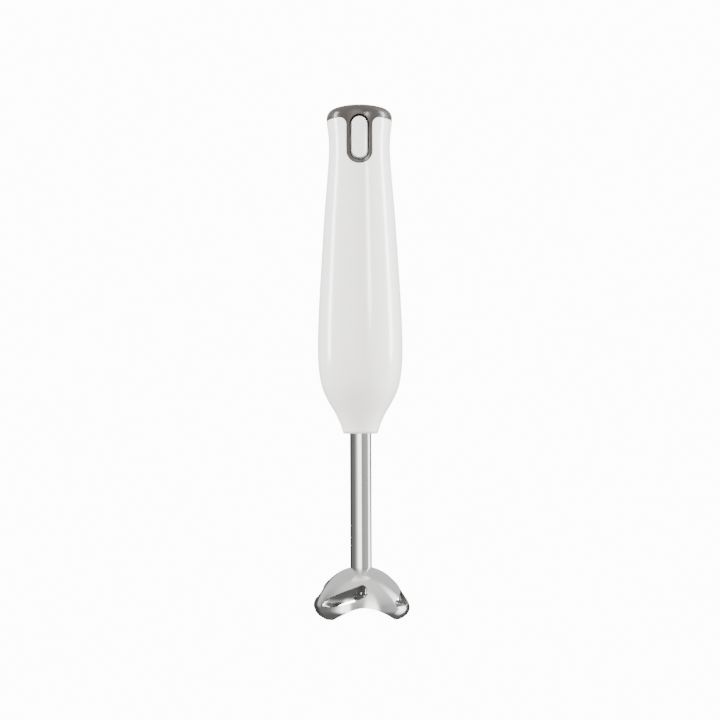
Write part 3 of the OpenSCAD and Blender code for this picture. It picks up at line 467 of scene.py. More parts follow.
@dataclass
class GripForm:
    """The grip and cap as one turned form, measured along its outline from the tube's hole to the top."""

    collar_z: float = 135.0
    joint_z: float = 369.0
    top_z: float = 381.2
    tube_hole_r: float = 8.15
    collar_r: float = 14.2
    belly_r: float = 31.6
    waist_r: float = 22.9
    rim_r: float = 24.6
    edge_r: float = 7.2
    map_r: float = 27.0
    foot_r: float = 13.32
    line: np.ndarray = field(init=False)
    length: np.ndarray = field(init=False)

    def __post_init__(self) -> None:
        """Draws the outline."""
        side_from = 0.006
        shares = np.linspace(side_from, 1, 1200)
        side = [(self.side_radius(s), self.collar_z + s * (self.joint_z - self.collar_z)) for s in shares]
        flat_r = side[0][0] - 1.5
        start, end = np.array([flat_r, self.collar_z]), np.array(side[0])
        bend = np.array([end[0] - 0.25, self.collar_z])
        corner = [(1 - t) ** 2 * start + 2 * t * (1 - t) * bend + t * t * end for t in np.linspace(0, 1, 16)]
        foot = [(r, self.collar_z) for r in np.linspace(self.tube_hole_r, flat_r, 12)]
        points = foot + [tuple(c) for c in corner[1:]] + side[1:] + self.cap_line()
        self.line = np.array(points)
        steps = np.linalg.norm(np.diff(self.line, axis=0), axis=1)
        self.length = np.concatenate([[0], np.cumsum(steps)])

    def side_radius(self, share: float) -> float:
        """Radius of the grip at a share of its length, by a cubic through its stations."""
        c, b, w, m = self.collar_r, self.belly_r, self.waist_r, self.rim_r
        stations = [
            (0.006, c - 0.9), (0.028, c + 0.03 * (b - c)), (0.065, c + 0.26 * (b - c)),
            (0.107, c + 0.59 * (b - c)), (0.150, c + 0.83 * (b - c)), (0.202, c + 0.955 * (b - c)),
            (0.262, b), (0.385, w + 0.92 * (b - w)), (0.556, w + 0.655 * (b - w)),
            (0.706, w + 0.40 * (b - w)), (0.812, w + 0.165 * (b - w)), (0.906, w),
            (0.953, w + 0.20 * (m - w)), (0.983, w + 0.72 * (m - w)), (1.0, m),
        ]
        last = len(stations) - 1

        def slope(i: int) -> float:
            """Slope at a station, from its neighbours."""
            p, q = stations[max(i - 1, 0)], stations[min(i + 1, last)]
            return (q[1] - p[1]) / (q[0] - p[0])

        i = 0
        while i < last - 1 and share >= stations[i + 1][0]:
            i += 1
        (ua, ra), (ub, rb) = stations[i], stations[i + 1]
        w, t = ub - ua, (share - ua) / (ub - ua)
        return ((2 * t ** 3 - 3 * t ** 2 + 1) * ra + (t ** 3 - 2 * t ** 2 + t) * w * slope(i)
                + (3 * t ** 2 - 2 * t ** 3) * rb + (t ** 3 - t ** 2) * w * slope(i + 1))

    def cap_line(self) -> list[tuple[float, float]]:
        """Outline of the cap from its joint to the axis: a rounded edge that runs into a shallow dome."""
        cap_r = self.rim_r + 0.1
        ex, ez, er = cap_r - self.edge_r, self.joint_z + 2.3, self.edge_r
        rise = self.top_z - ez
        dome_r = (ex ** 2 + rise ** 2 - er ** 2) / (2 * (rise - er))
        dome_z = self.top_z - dome_r
        lean = math.atan2(ex, ez - dome_z)
        band = [(self.rim_r + 0.1 * t, self.joint_z + 2.3 * t) for t in np.linspace(0.1, 0.9, 9)]
        edge = [(ex + er * math.sin(a), ez + er * math.cos(a)) for a in np.linspace(math.pi / 2, lean, 60)]
        dome = [(dome_r * math.sin(a), dome_z + dome_r * math.cos(a)) for a in np.linspace(lean, 0, 120)]
        return band + edge + dome[1:]

    def at(self, t: np.ndarray) -> tuple[np.ndarray, np.ndarray]:
        """Radius and height at lengths along the outline."""
        return np.interp(t, self.length, self.line[:, 0]), np.interp(t, self.length, self.line[:, 1])

    def facing(self, t: np.ndarray) -> tuple[np.ndarray, np.ndarray]:
        """Outward normal of the outline, as radius and height parts."""
        step = 0.25
        ra, za = self.at(np.maximum(t - step, 0))
        rb, zb = self.at(np.minimum(t + step, self.length[-1]))
        size = np.maximum(np.hypot(rb - ra, zb - za), 1e-9)
        return (zb - za) / size, -(rb - ra) / size

    def run(self, z: float | np.ndarray) -> np.ndarray:
        """Length along the outline at a height on the grip's side or the cap's band."""
        side = self.line[:, 1] > self.collar_z + 1e-6
        return np.interp(z, self.line[side, 1], self.length[side])

    def place(self, facing: float, straight: Callable[[np.ndarray, np.ndarray], np.ndarray]
              ) -> Callable[[np.ndarray, np.ndarray, np.ndarray], np.ndarray]:
        """Makes the function that lays a flat map on the form.

        Args:
            facing: Angle of the map's middle from the button side, in radians.
            straight: Share of the depth that runs along Y instead of square to the wall.

        Returns:
            A function of u, v and depth that gives positions.
        """
        front = -1 if abs(facing) < 1 else 1

        def put(u: np.ndarray, v: np.ndarray, depth: np.ndarray) -> np.ndarray:
            """Positions for points of the map."""
            a = u / self.map_r + facing
            r, z = self.at(v)
            nr, nz = self.facing(v)
            share = straight(u, v)
            deep_r = r - depth * nr * (1 - share)
            low = z < self.collar_z + 1.6
            deep_r = np.where(low, np.minimum(deep_r, self.foot_r - depth), deep_r)
            y = -deep_r * np.cos(a) - front * depth * share
            return np.stack([deep_r * np.sin(a), y, z - depth * nz * (1 - share)], 1)
        return put

    def spot(self, x: np.ndarray, z: np.ndarray, back: bool = False) -> np.ndarray:
        """Points of the flat map for x and z seen from the front, or from the back."""
        v = self.run(np.asarray(z, float))
        r, _ = self.at(v)
        a = np.arcsin(np.clip(np.asarray(x, float) / r, -1, 1))
        return np.stack([(-a if back else a) * self.map_r, v], 1)


FORM = GripForm()
FIT = 0.15


@dataclass
class ButtonPlan:
    """Outlines of the button, its groove and the cap's tongue, as seen from the front."""

    width: float = 12.0
    height: float = 31.6
    gap: float = 1.1
    surround: float = 2.4
    shoulder: float = 6.0
    middle_z: float = 353.4
    steps: int = 24
    fine: float = 0.9

    def stadium(self, grow: float) -> np.ndarray:
        """Outline of the button grown by a margin, on the flat map."""
        rise = (self.height - self.width) / 2
        loop = dense(oblong(self.middle_z, self.width / 2 + grow, rise, self.steps), self.fine)
        return FORM.spot(*loop.T)

    def tongue(self, grow: float) -> np.ndarray:
        """Line of the cap's joint across the front, from left to right, on the flat map."""
        r = self.half_width() + grow
        low = self.middle_z - (self.height - self.width) / 2
        s = self.shoulder - grow
        cx, cz = r + s, FORM.joint_z - self.shoulder
        right = arc(0, low, r, 270, 360, self.steps)[1:] + arc(cx, cz, s, 180, 90, self.steps)
        left = [(-x, z) for x, z in reversed(right)]
        line = dense(left + [(0, low - r)] + right, self.fine, closed=False)
        line[:, 1] = np.minimum(line[:, 1], FORM.joint_z)
        return FORM.spot(*line.T)

    def half_width(self) -> float:
        """Half-width of the tongue beside the button."""
        return self.width / 2 + self.gap + self.surround

    def straight(self, u: np.ndarray, v: np.ndarray, start: float) -> np.ndarray:
        """1 round the button, where edges run along Y, and 0 away from it."""
        across = smooth_step((20 - np.abs(u)) / 6)
        return across * smooth_step((v - start) / 4) * smooth_step((FORM.run(FORM.joint_z) + 5 - v) / 3)


PLAN = ButtonPlan()
PLAN_PLACE = FORM.place(0, lambda u, v: np.ones(len(u)))


def smooth_step(x: np.ndarray) -> np.ndarray:
    """Eases from 0 to 1, flat at both ends."""
    x = np.clip(x, 0, 1)
    return x * x * (3 - 2 * x)


def sleeve_y(shape: Shape, x: float, z: float, radii: tuple[float, float], start: float,
             end: Callable[[np.ndarray, np.ndarray], np.ndarray], sides: int = 32) -> None:
    """Adds a tube along Y that starts flat and ends on a curved wall.

    Args:
        shape: The shape that takes the faces.
        x: Place of the tube's middle across the grip.
        z: Height of the tube's middle.
        radii: Bore and outer radius; a bore of 0 makes a solid peg.
        start: Y of the flat end.
        end: Gives the Y of the wall for arrays of x and z.
        sides: Number of segments round the tube.
    """
    turn = np.arange(sides) * 2 * math.pi / sides
    rings, out = [], np.stack([np.cos(turn), np.zeros(sides), np.sin(turn)], 1)
    sign = 1 if end(np.array([x]), np.array([z]))[0] > start else -1
    for radius, near in ((radii[1], False), (radii[1], True), (radii[0], True), (radii[0], False)):
        px, pz = x + radius * np.cos(turn), z + radius * np.sin(turn)
        py = np.full(sides, start) if near else end(px, pz)
        rings.append(np.stack([px, py, pz], 1))
    pairs = [(0, 1, out), (1, 2, [0, -sign, 0]), (2, 3, -out), (3, 0, [0, sign, 0])]
    for a, b, way in pairs:
        way = np.broadcast_to(np.asarray(way, float), (sides, 3))
        points = np.concatenate([rings[a], rings[b]])
        quads = [[i, (i + 1) % sides, (i + 1) % sides + sides, i + sides] for i in range(sides)]
        shape.add_smooth(points, quads if sign > 0 else [q[::-1] for q in quads], np.concatenate([way, way]))


def bent_bar(shape: Shape, radii: tuple[float, float], heights: tuple[float, float],
             turn: tuple[float, float], steps: int = 48) -> None:
    """Adds a rib that runs part of the way round the axis.

    Args:
        shape: The shape that takes the faces.
        radii: Inner and outer radius.
        heights: Lower and upper height.
        turn: Start and end in degrees from the button side.
        steps: Number of segments along the rib.
    """
    (ra, rb), (za, zb) = radii, heights
    corners = np.array([(ra, za), (rb, za), (rb, zb), (ra, zb)])
    ways = [(0, -1), (1, 0), (0, 1), (-1, 0)]
    angles = np.radians(np.linspace(turn[0], turn[1], steps + 1))
    for k, way in enumerate(ways):
        two = corners[[k, (k + 1) % 4]]
        points = np.concatenate([round_axis(two[:, 0], a, two[:, 1]) for a in angles])
        normals = np.concatenate([
            np.tile([way[0] * math.sin(a), -way[0] * math.cos(a), way[1]], (2, 1)) for a in angles
        ])
        quads = [[2 * i, 2 * i + 2, 2 * i + 3, 2 * i + 1] for i in range(steps)]
        shape.add_smooth(points, quads, normals)
    for a, sign in ((angles[0], -1), (angles[-1], 1)):
        points = round_axis(corners[:, 0], a, corners[:, 1])
        way = np.tile([sign * math.cos(a), sign * math.sin(a), 0], (4, 1))
        shape.add_smooth(points, [[0, 3, 2, 1] if sign > 0 else [0, 1, 2, 3]], way)


# ---------------------------------------------------------------- shells and cap

@dataclass
class Grip:
    """The two white shells, moulded with ribs and screw bosses inside."""

    wall: float = 2.2
    edge: float = 0.28
    row_gap: float = 2.2
    column_gap: float = 1.75
    boss_r: float = 4.2
    pin_r: float = 2.8
    pilot_r: float = 1.55
    head_hole_r: float = 2.75
    head_y: float = 7.0
    inlets: int = 5
    inlet_size: tuple[float, float] = (20.0, 2.2)
    inlet_pitch: float = 6.0
    outlets: int = 6
    outlet_size: tuple[float, float] = (2.6, 12.0)
    outlet_pitch: float = 16.0
    gland_r: float = 5.3
    inlet_z: float = 355.4
    rib_w: float = 2.4
    rib_t: float = 1.6
    fine: float = 0.8

    def __post_init__(self) -> None:
        """Takes the heights that follow other parts from the frame."""
        self.screws = [(s * x, z) for s in (-1, 1) for x, z in self.screw_places()]
        low, high = box("circuit_board")
        self.board_back = high[1]
        self.board_z = (low[2] + high[2]) / 2
        self.board_pins = [(s * (high[0] - 3.4), self.board_z + t * 19.2) for s in (-1, 1) for t in (-1, 1)]
        self.fan_z = sum(p[2] for p in box("cooling_fan")) / 2
        self.plates = [box(n)[0][2] for n in ("lower_damper", "upper_damper")]
        self.socket_top = box("leg_tube")[1][2]

    def screw_places(self) -> list[tuple[float, float]]:
        """Side distance and height of the shell screws: as far out as their bosses go."""
        low, high = box("shell_screws")
        places = []
        for z in (low[2] + Works.head_r, high[2] - Works.head_r):
            room = FORM.at(FORM.run(z + np.linspace(-self.boss_r, self.boss_r, 9)))[0].min()
            places.append((float(room) - self.wall - self.boss_r, z))
        return places

    def half_outline(self, joint: np.ndarray) -> np.ndarray:
        """Outline of one shell on the flat map.

        Args:
            joint: Points along the top, from left to right.

        Returns:
            The closed outline, counter-clockwise.
        """
        side = FORM.map_r * math.pi / 2
        top = FORM.run(FORM.joint_z)
        low = dense([(-side, 0), (side, 0)], self.column_gap, closed=False)
        right = dense([(side, 0), (side, top)], self.row_gap, closed=False)
        upper = np.vstack([[(side, top)], joint[::-1], [(-side, top)]])
        upper = dense(upper, self.column_gap, closed=False)
        left = dense([(-side, top), (-side, 0)], self.row_gap, closed=False)
        return np.vstack([low[:-1], right[:-1], upper[:-1], left[:-1]])

    def wall_skin(self, facing: float, outline: np.ndarray, holes: list[np.ndarray],
                  straight: Callable[[np.ndarray, np.ndarray], np.ndarray]) -> Skin:
        """Sets up one shell's wall.

        Args:
            facing: Angle of the shell's middle from the button side.
            outline: Its closed outline on the map.
            holes: Its openings on the map.
            straight: Share of each point's edge that runs along Y instead of square to the wall.

        Returns:
            The skin, ready to build.
        """
        side = FORM.map_r * math.pi / 2
        columns = np.linspace(-side, side, round(2 * side / self.column_gap) + 1)[1:-1]
        rows = np.arange(self.row_gap, FORM.run(FORM.joint_z) - 1, self.row_gap)
        return Skin(
            place=FORM.place(facing, straight), outline=outline, holes=holes,
            edges=[Edge(outline)] + [Edge(h) for h in holes],
            rows=rows, columns=columns, thickness=self.wall, outer_round=self.edge, inner_round=0,
        )

    def wall_y(self, side: int) -> Callable[[np.ndarray, np.ndarray], np.ndarray]:
        """Makes the function that gives Y at the middle of the wall, in front (-1) or behind (1)."""
        def at(x: np.ndarray, z: np.ndarray) -> np.ndarray:
            """Y of the wall's middle at x and z."""
            r, _ = FORM.at(FORM.run(z))
            return side * np.sqrt(np.maximum((r - self.wall / 2) ** 2 - x ** 2, 1))
        return at

    def ribs(self, shape: Shape, turn: tuple[float, float]) -> None:
        """Adds the ribs that hold the socket and the motor's dampers."""
        heights = [self.socket_top]
        for z in self.plates:
            heights += [z - self.rib_t, z + 4.0]
        for z in heights:
            r = min(FORM.at(FORM.run(z + k * self.rib_t))[0] for k in (0, 1)) - self.wall
            bent_bar(shape, (float(r) - self.rib_w, float(r) + 1), (z, z + self.rib_t), turn)

    def front(self) -> bpy.types.Object:
        """Builds the front shell."""
        shape = Shape()
        outline = self.half_outline(PLAN.tongue(FIT))
        start = FORM.run(PLAN.middle_z - PLAN.height)
        self.wall_skin(0, outline, [], lambda u, v: PLAN.straight(u, v, start)).build(shape)
        for x, z in self.screws:
            sleeve_y(shape, x, z, (self.pilot_r, self.boss_r), 0, self.wall_y(-1))
        near, far = box("switch_bracket")
        for s in (-1, 1):
            for dz in (-12, 5):
                x, z = s * (far[0] - 3.4), PLAN.middle_z + dz
                sleeve_y(shape, x, z, (self.pilot_r, self.pin_r), near[1], self.wall_y(-1))
        self.ribs(shape, (-89.5, 89.5))
        return shape.to_object("front_shell_moulding")

    def rear(self) -> bpy.types.Object:
        """Builds the rear shell with its air slots, screw holes and cord hole."""
        shape = Shape()
        back_top = np.array([(-FORM.map_r * math.pi / 2 + 1, FORM.run(FORM.joint_z)),
                             (FORM.map_r * math.pi / 2 - 1, FORM.run(FORM.joint_z))])
        outline = self.half_outline(back_top)
        holes = self.air_inlets() + self.air_outlets()
        places = []
        for x, z in self.screws:
            loop = np.array(arc(x, z, self.head_hole_r, 0, 360, 36))[:-1]
            holes.append(FORM.spot(*loop.T, back=True))
            places.append(FORM.spot(np.array([x]), np.array([z]), back=True)[0])
        loop = np.array(arc(0, self.inlet_z, self.gland_r, 0, 360, 48))[:-1]
        holes.append(FORM.spot(*loop.T, back=True))
        places.append(FORM.spot(np.array([0.0]), np.array([self.inlet_z]), back=True)[0])

        def straight(u: np.ndarray, v: np.ndarray) -> np.ndarray:
            """1 round the screw and cord holes, and 0 elsewhere."""
            near = np.min([np.hypot(u - p[0], v - p[1]) for p in places], axis=0)
            return smooth_step((11 - near) / 4)

        self.wall_skin(math.pi, outline, holes, straight).build(shape)
        for x, z in self.screws:
            sleeve_y(shape, x, z, (self.head_hole_r, self.boss_r), self.head_y, self.wall_y(1))
            sleeve_y(shape, x, z, (self.pilot_r + 0.1, self.boss_r), 0,
                     lambda px, pz: np.full(len(px), self.head_y))
        low, high = box("cord_clamp")
        pins = [(x, z, self.board_back) for x, z in self.board_pins]
        pins += [(s * 9.0, (low[2] + high[2]) / 2, high[1]) for s in (-1, 1)]
        for x, z, y in pins:
            sleeve_y(shape, x, z, (self.pilot_r, self.pin_r), y, self.wall_y(1))
        self.ribs(shape, (90.5, 269.5))
        return shape.to_object("rear_shell_moulding")

    def air_inlets(self) -> list[np.ndarray]:
        """Outlines of the level air slots at the height of the board."""
        wide, high = self.inlet_size
        loops = []
        for i in range(self.inlets):
            z = self.board_z + (i - (self.inlets - 1) / 2) * self.inlet_pitch
            loop = dense(oblong(z, high / 2, (wide - high) / 2, 12, level=True), self.fine)
            loops.append(FORM.spot(*loop.T, back=True))
        return loops

    def air_outlets(self) -> list[np.ndarray]:
        """Outlines of the upright air slots round the fan."""
        wide, high = self.outlet_size
        mid_r = float(FORM.at(FORM.run(self.fan_z))[0])
        loops = []
        for i in range(self.outlets):
            middle = math.radians((i - (self.outlets - 1) / 2) * self.outlet_pitch)
            loop = dense(oblong(0, wide / 2, (high - wide) / 2, 12), self.fine)
            u = (middle + loop[:, 0] / mid_r) * FORM.map_r
            loops.append(np.stack([u, FORM.run(self.fan_z + loop[:, 1])], 1))
        return loops


@dataclass
class Cap:
    """The grey cap: a shallow dome with a tongue down the front that carries the button."""

    wall: float = 2.2
    edge: float = 0.28
    columns: int = 144
    dome_rows: int = 30
    spigot_h: float = 5.0
    spigot_t: float = 1.6

    def build(self) -> bpy.types.Object:
        """Builds the cap as one closed wall with its spigot."""
        shape = Shape()
        around = FORM.map_r * math.pi
        joint, band_top = float(FORM.run(FORM.joint_z)), float(FORM.run(FORM.joint_z + 5.2))
        step = 2 * around / self.columns
        ring = np.linspace(-around, around, self.columns + 1)
        tongue = PLAN.tongue(0)
        side = np.linspace(joint, band_top, 7)
        low = np.vstack([dense([(-around, joint), tongue[0]], step, closed=False)[:-1], tongue,
                         dense([tongue[-1], (around, joint)], step, closed=False)[1:]])
        top = [(u, band_top) for u in ring[::-1]]
        outline = np.vstack([low, [(around, v) for v in side[1:-1]], top, [(-around, v) for v in side[-2:0:-1]]])
        hole = PLAN.stadium(PLAN.gap)
        start = FORM.run(PLAN.middle_z - PLAN.height)
        place = FORM.place(0, lambda u, v: PLAN.straight(u, v, start))
        rows = np.concatenate([np.arange(joint - 36, joint - 0.8, 1.6), side[1:-1]])
        Skin(place=place, outline=outline, holes=[hole], edges=[Edge(low, closed=False), Edge(hole)],
             rows=rows, columns=ring[1:-1], thickness=self.wall, outer_round=self.edge, inner_round=0,
             ).build(shape)
        self.dome(shape, place, ring, band_top)
        self.spigot(shape)
        return shape.to_object("top_cap_moulding")

    def dome(self, shape: Shape, place: Callable, ring: np.ndarray, start: float) -> None:
        """Adds the dome above the band, outside and inside, closed at the axis."""
        end = FORM.length[-1]
        share = np.linspace(0, 1, self.dome_rows + 1) ** 0.9
        lengths = start + (end - start) * share
        u, v = np.meshgrid(ring, lengths)
        rows, columns = u.shape
        quads = [[r * columns + c, r * columns + c + 1, (r + 1) * columns + c + 1, (r + 1) * columns + c]
                 for r in range(rows - 1) for c in range(columns - 1)]
        angle = u.ravel() / FORM.map_r
        nr, nz = FORM.facing(v.ravel())
        normal = round_axis(nr, angle, nz)
        outer = place(u.ravel(), v.ravel(), np.zeros(u.size))
        inner = place(u.ravel(), v.ravel(), np.full(u.size, self.wall))
        shape.add_smooth(outer, quads, normal)
        shape.add_smooth(inner, [q[::-1] for q in quads], -normal)

    def spigot(self, shape: Shape) -> None:
        """Adds the ring that centres the cap in the shells, open behind the tongue."""
        low = FORM.joint_z - self.spigot_h
        r = min(float(FORM.at(FORM.run(z))[0]) for z in (low, FORM.joint_z)) - self.wall - FIT
        gap = math.degrees(math.asin((PLAN.half_width() + PLAN.shoulder + 1) / r))
        bent_bar(shape, (r - self.spigot_t, r), (low, FORM.joint_z + 2), (gap, 360 - gap), 96)


@dataclass
class Button:
    """The white button that stands proud of the cap's tongue, and the near-black lining of its groove: a seal
    whose darkness is also painted shade for the gap.
    """

    proud: float = 0.7
    shrink: float = 0.6
    edge: float = 0.7
    back_y: float = -19.2
    flange_y: float = -19.0
    flange_t: float = 1.4
    flange_lip: float = 1.6
    post_r: float = 3.0
    post_end: float = -11.5
    seal_inset: float = 1.2
    seal_clear: float = 0.3
    fine: float = 0.9

    def build(self) -> bpy.types.Object:
        """Builds the button, its flange and its post."""
        shape = Shape()
        outline = PLAN.stadium(-self.shrink)
        lengths = FORM.run(np.array([PLAN.middle_z - PLAN.height / 2, PLAN.middle_z + PLAN.height / 2]))
        rows = np.arange(lengths[0] + self.fine, lengths[1], self.fine)
        columns = np.arange(-7, 7.1, self.fine)
        Skin(place=self.pad_place, outline=outline, edges=[Edge(outline)], rows=rows, columns=columns,
             thickness=1.0, outer_round=self.edge, inner_round=0, ring_steps=6).build(shape)
        loop = self.flat_stadium(self.flange_lip)
        self.slab(shape, loop, self.flange_y, self.flange_y + self.flange_t)
        sleeve_y(shape, 0, PLAN.middle_z, (0.0, self.post_r), self.post_end,
                 lambda x, z: np.full(len(x), self.flange_y + 0.2))
        return shape.to_object("power_button_moulding")

    def pad_place(self, u: np.ndarray, v: np.ndarray, depth: np.ndarray) -> np.ndarray:
        """Positions on the pad, whose far side is flat against the flange."""
        surface = PLAN_PLACE(u, v, np.zeros(len(u)))
        front = surface[:, 1] - self.proud
        y = np.where(depth > 0.99, self.flange_y + 0.1, front + depth)
        return np.stack([surface[:, 0], y, surface[:, 2]], 1)

    def flat_stadium(self, grow: float) -> np.ndarray:
        """Outline of the button grown by a margin, as x and z."""
        rise = (PLAN.height - PLAN.width) / 2
        return np.array(oblong(PLAN.middle_z, PLAN.width / 2 + grow, rise, 20))

    def slab(self, shape: Shape, loop: np.ndarray, near: float, far: float) -> None:
        """Adds a flat slab along Y through an outline."""
        n = len(loop)
        for y, sign in ((near, -1), (far, 1)):
            points = np.stack([loop[:, 0], np.full(n, y), loop[:, 1]], 1)
            face = list(range(n)) if sign < 0 else list(range(n))[::-1]
            shape.add_smooth(points, [face], np.tile([0, sign, 0], (n, 1)))
        side = np.roll(loop, -1, axis=0) - np.roll(loop, 1, axis=0)
        out = np.stack([side[:, 1], np.zeros(n), -side[:, 0]], 1)
        points = np.concatenate([
            np.stack([loop[:, 0], np.full(n, y), loop[:, 1]], 1) for y in (near, far)
        ])
        quads = [[i, i + n, (i + 1) % n + n, (i + 1) % n] for i in range(n)]
        shape.add_smooth(points, quads, np.concatenate([out, out]))

    def painted_shade_lining(self) -> bpy.types.Object:
        """Builds the near-black lining of the groove, just below the surface: a rubber seal whose darkness is
        painted shade for the gap round the button.
        """
        shape = Shape()
        outer, inner = PLAN.stadium(PLAN.gap - 0.02), PLAN.stadium(self.seal_clear)
        inset = self.seal_inset

        def place(u: np.ndarray, v: np.ndarray, depth: np.ndarray) -> np.ndarray:
            """Positions on the lining, whose far side is flat."""
            surface = PLAN_PLACE(u, v, np.zeros(len(u)))
            y = np.where(depth > 0.99, self.back_y, surface[:, 1] + inset + depth)
            return np.stack([surface[:, 0], y, surface[:, 2]], 1)

        Skin(place=place, outline=outer, holes=[inner], edges=[Edge(outer), Edge(inner)],
             rows=np.array([0.0]), columns=np.array([0.0]), thickness=1.0, outer_round=0.2,
             ).build(shape)
        return shape.to_object("groove_lining_painted_shade")


# ---------------------------------------------------------------- leg and bell

@dataclass
class Leg:
    """The steel tube between the grip and the bell."""

    outer_r: float = 8.0
    bore_r: float = 7.0
    edge: float = 0.25

    def build(self) -> bpy.types.Object:
        """Builds the tube with eased ends."""
        low, high = (p[2] for p in box("leg_tube"))
        e, ro, ri = self.edge, self.outer_r, self.bore_r
        side = [(ro, low + e + (high - low - 2 * e) * i / 40) for i in range(1, 40)]
        profile = (arc(ro - e, low + e, e, -90, 0, 4) + side + arc(ro - e, high - e, e, 0, 90, 4)
                   + arc(ri + e, high - e, e, 90, 180, 4) + arc(ri + e, low + e, e, 180, 270, 4))
        points, faces = turned(profile, 160)
        return plain_object("leg_tube_drawn", points, faces)


@dataclass
class Bell:
    """The pressed steel guard: four lobes, four arches between its feet and four slanting slots."""

    height: float = 36.0
    lobe_r: float = 39.16
    waist_z: float = 8.0
    flute_depth: float = 0.12
    arch: float = 9.4
    foot_flat: float = 0.5
    neck_r: float = 8.05
    wall: float = 1.1
    turn_deg: float = 4.0
    power: float = 1.45
    tuck: float = 4.4
    lobes: int = 4
    edge: float = 0.4
    map_r: float = 34.0
    map_length: float = 46.0
    columns: int = 220
    rows: int = 44
    fine: float = 0.8
    seam_deg: float = 30.0
    slot_stops: tuple = ((-50.0, 0.325, 2.0), (-28.0, 0.44, 4.5), (-2.0, 0.585, 4.2))

    def flute(self, a: np.ndarray) -> np.ndarray:
        """1 in the middle of a flute and 0 on a lobe, for azimuths in radians."""
        return (1 + np.cos(self.lobes * (a - math.radians(self.turn_deg)))) / 2

    def rim(self, a: np.ndarray) -> np.ndarray:
        """Height of the sheet's lower edge."""
        return np.maximum(0, (self.arch + self.foot_flat) * self.flute(a) ** 0.8 - self.foot_flat)

    def radius(self, a: np.ndarray, z: np.ndarray) -> np.ndarray:
        """Radius of the outer face at an azimuth and a height."""
        up = np.clip((z - self.waist_z) / (self.height - self.waist_z), 0, 1)
        reach = self.lobe_r - self.neck_r
        high = self.neck_r + reach * np.maximum(1 - up ** self.power, 0) ** (1 / self.power)
        low = self.lobe_r - self.tuck * np.clip((self.waist_z - z) / self.waist_z, 0, 2) ** 2
        r = np.where(z >= self.waist_z, high, low)
        return r * (1 - self.flute_depth * smooth_step((r - self.neck_r) / reach) * self.flute(a) ** 1.5)

    def surface(self, a: np.ndarray, t: np.ndarray) -> np.ndarray:
        """Points of the outer face at azimuths and shares of the way from the neck to the rim."""
        t = np.clip(t, 0, 1)
        rim = self.rim(a)
        z = rim + (self.height - rim) * np.cos(t * math.pi / 2) ** 1.2
        r = self.radius(a, z)
        return round_axis(r, a, z)

    def place(self, u: np.ndarray, v: np.ndarray, depth: np.ndarray) -> np.ndarray:
        """Positions for points of the flat map, square to the sheet below its outer face."""
        a, t = u / self.map_r, v / self.map_length
        point = self.surface(a, t)
        step = 0.004
        before, after = np.maximum(t - step, 0.0005), np.minimum(np.maximum(t, 0.0005) + step, 1)
        down = self.surface(a, after) - self.surface(a, before)
        across = self.surface(a + step, t) - self.surface(a - step, t)
        deep = point - unit(np.cross(down, across)) * depth[:, None]
        r = np.hypot(deep[:, 0], deep[:, 1])
        hold = np.where((r < self.neck_r) | (t <= 1e-6), self.neck_r / np.maximum(r, 1e-6), 1)
        deep[:, :2] *= hold[:, None]
        deep[:, 2] = np.maximum(deep[:, 2], 0)
        return deep

    def on_map(self, a: np.ndarray, z: np.ndarray) -> np.ndarray:
        """Points of the flat map for azimuths and heights."""
        rim = self.rim(a)
        share = np.clip((z - rim) / (self.height - rim), 0, 1)
        t = np.arccos(share ** (1 / 1.2)) / (math.pi / 2)
        return np.stack([a * self.map_r, t * self.map_length], 1)

    def slot(self, quarter: int) -> np.ndarray:
        """Outline of one slanting slot, a band of changing width with round ends."""
        stops = np.array(self.slot_stops)
        share = np.linspace(0, 1, 25)
        weights = np.stack([(share - b) * (share - c) / ((p - b) * (p - c))
                            for p, b, c in ((0, 0.5, 1), (0.5, 0, 1), (1, 0, 0.5))], 1)
        turn, rise, half = (weights @ stops).T
        a = np.radians(turn + self.turn_deg)
        z = rise * self.height
        r = self.radius(a, z)
        flat = np.stack([a * r.mean(), z], 1)
        way = unit(np.gradient(flat, axis=0))
        side = np.stack([-way[:, 1], way[:, 0]], 1)
        upper, lower = flat + side * half[:, None], flat - side * half[:, None]

        def cap(middle: np.ndarray, radius: float, start: float) -> list[np.ndarray]:
            """Half circle round an end, clockwise from start in degrees."""
            turns = np.radians(np.linspace(start, start - 180, 13)[1:-1])
            return [middle + radius * np.array([math.cos(k), math.sin(k)]) for k in turns]

        lean = np.degrees(np.arctan2(way[:, 1], way[:, 0]))
        loop = np.vstack([upper, cap(flat[-1], half[-1], lean[-1] + 90), lower[::-1],
                          cap(flat[0], half[0], lean[0] - 90)])[::-1]
        loop = dense(loop, self.fine)
        points = self.on_map(loop[:, 0] / r.mean() + quarter * math.pi / 2, loop[:, 1])
        points[:, 0] -= self.seam()
        return points

    def build(self) -> bpy.types.Object:
        """Builds the guard as one closed sheet."""
        around = self.map_r * math.pi
        ring = np.linspace(-around, around, self.columns + 1)
        side = np.linspace(0, self.map_length, self.rows + 1)
        top = np.stack([ring, np.zeros(len(ring))], 1)
        rim = np.stack([ring[::-1], np.full(len(ring), self.map_length)], 1)
        outline = np.vstack([top, [(around, v) for v in side[1:-1]], rim,
                             [(-around, v) for v in side[-2:0:-1]]])
        whole = np.array([2 * around, 0])
        holes = [self.slot(q) for q in range(4)]
        holes = [h - whole if h[:, 0].max() > around else h for h in holes]
        skin = Skin(place=self.place_back, outline=outline, holes=holes,
                    edges=[Edge(top, closed=False), Edge(rim, closed=False)] + [Edge(h) for h in holes],
                    rows=side[1:-1], columns=ring[1:-1], thickness=self.wall,
                    outer_round=self.edge, inner_round=self.edge)
        shape = Shape()
        skin.build(shape)
        return shape.to_object("bell_guard_pressing")

    def place_back(self, u: np.ndarray, v: np.ndarray, depth: np.ndarray) -> np.ndarray:
        """Positions with the map's seam turned to the middle of a lobe."""
        return self.place(u + self.seam(), v, depth)

    def seam(self) -> float:
        """Shift of the map, so that its seam crosses no slot."""
        return self.map_r * math.radians(self.seam_deg)


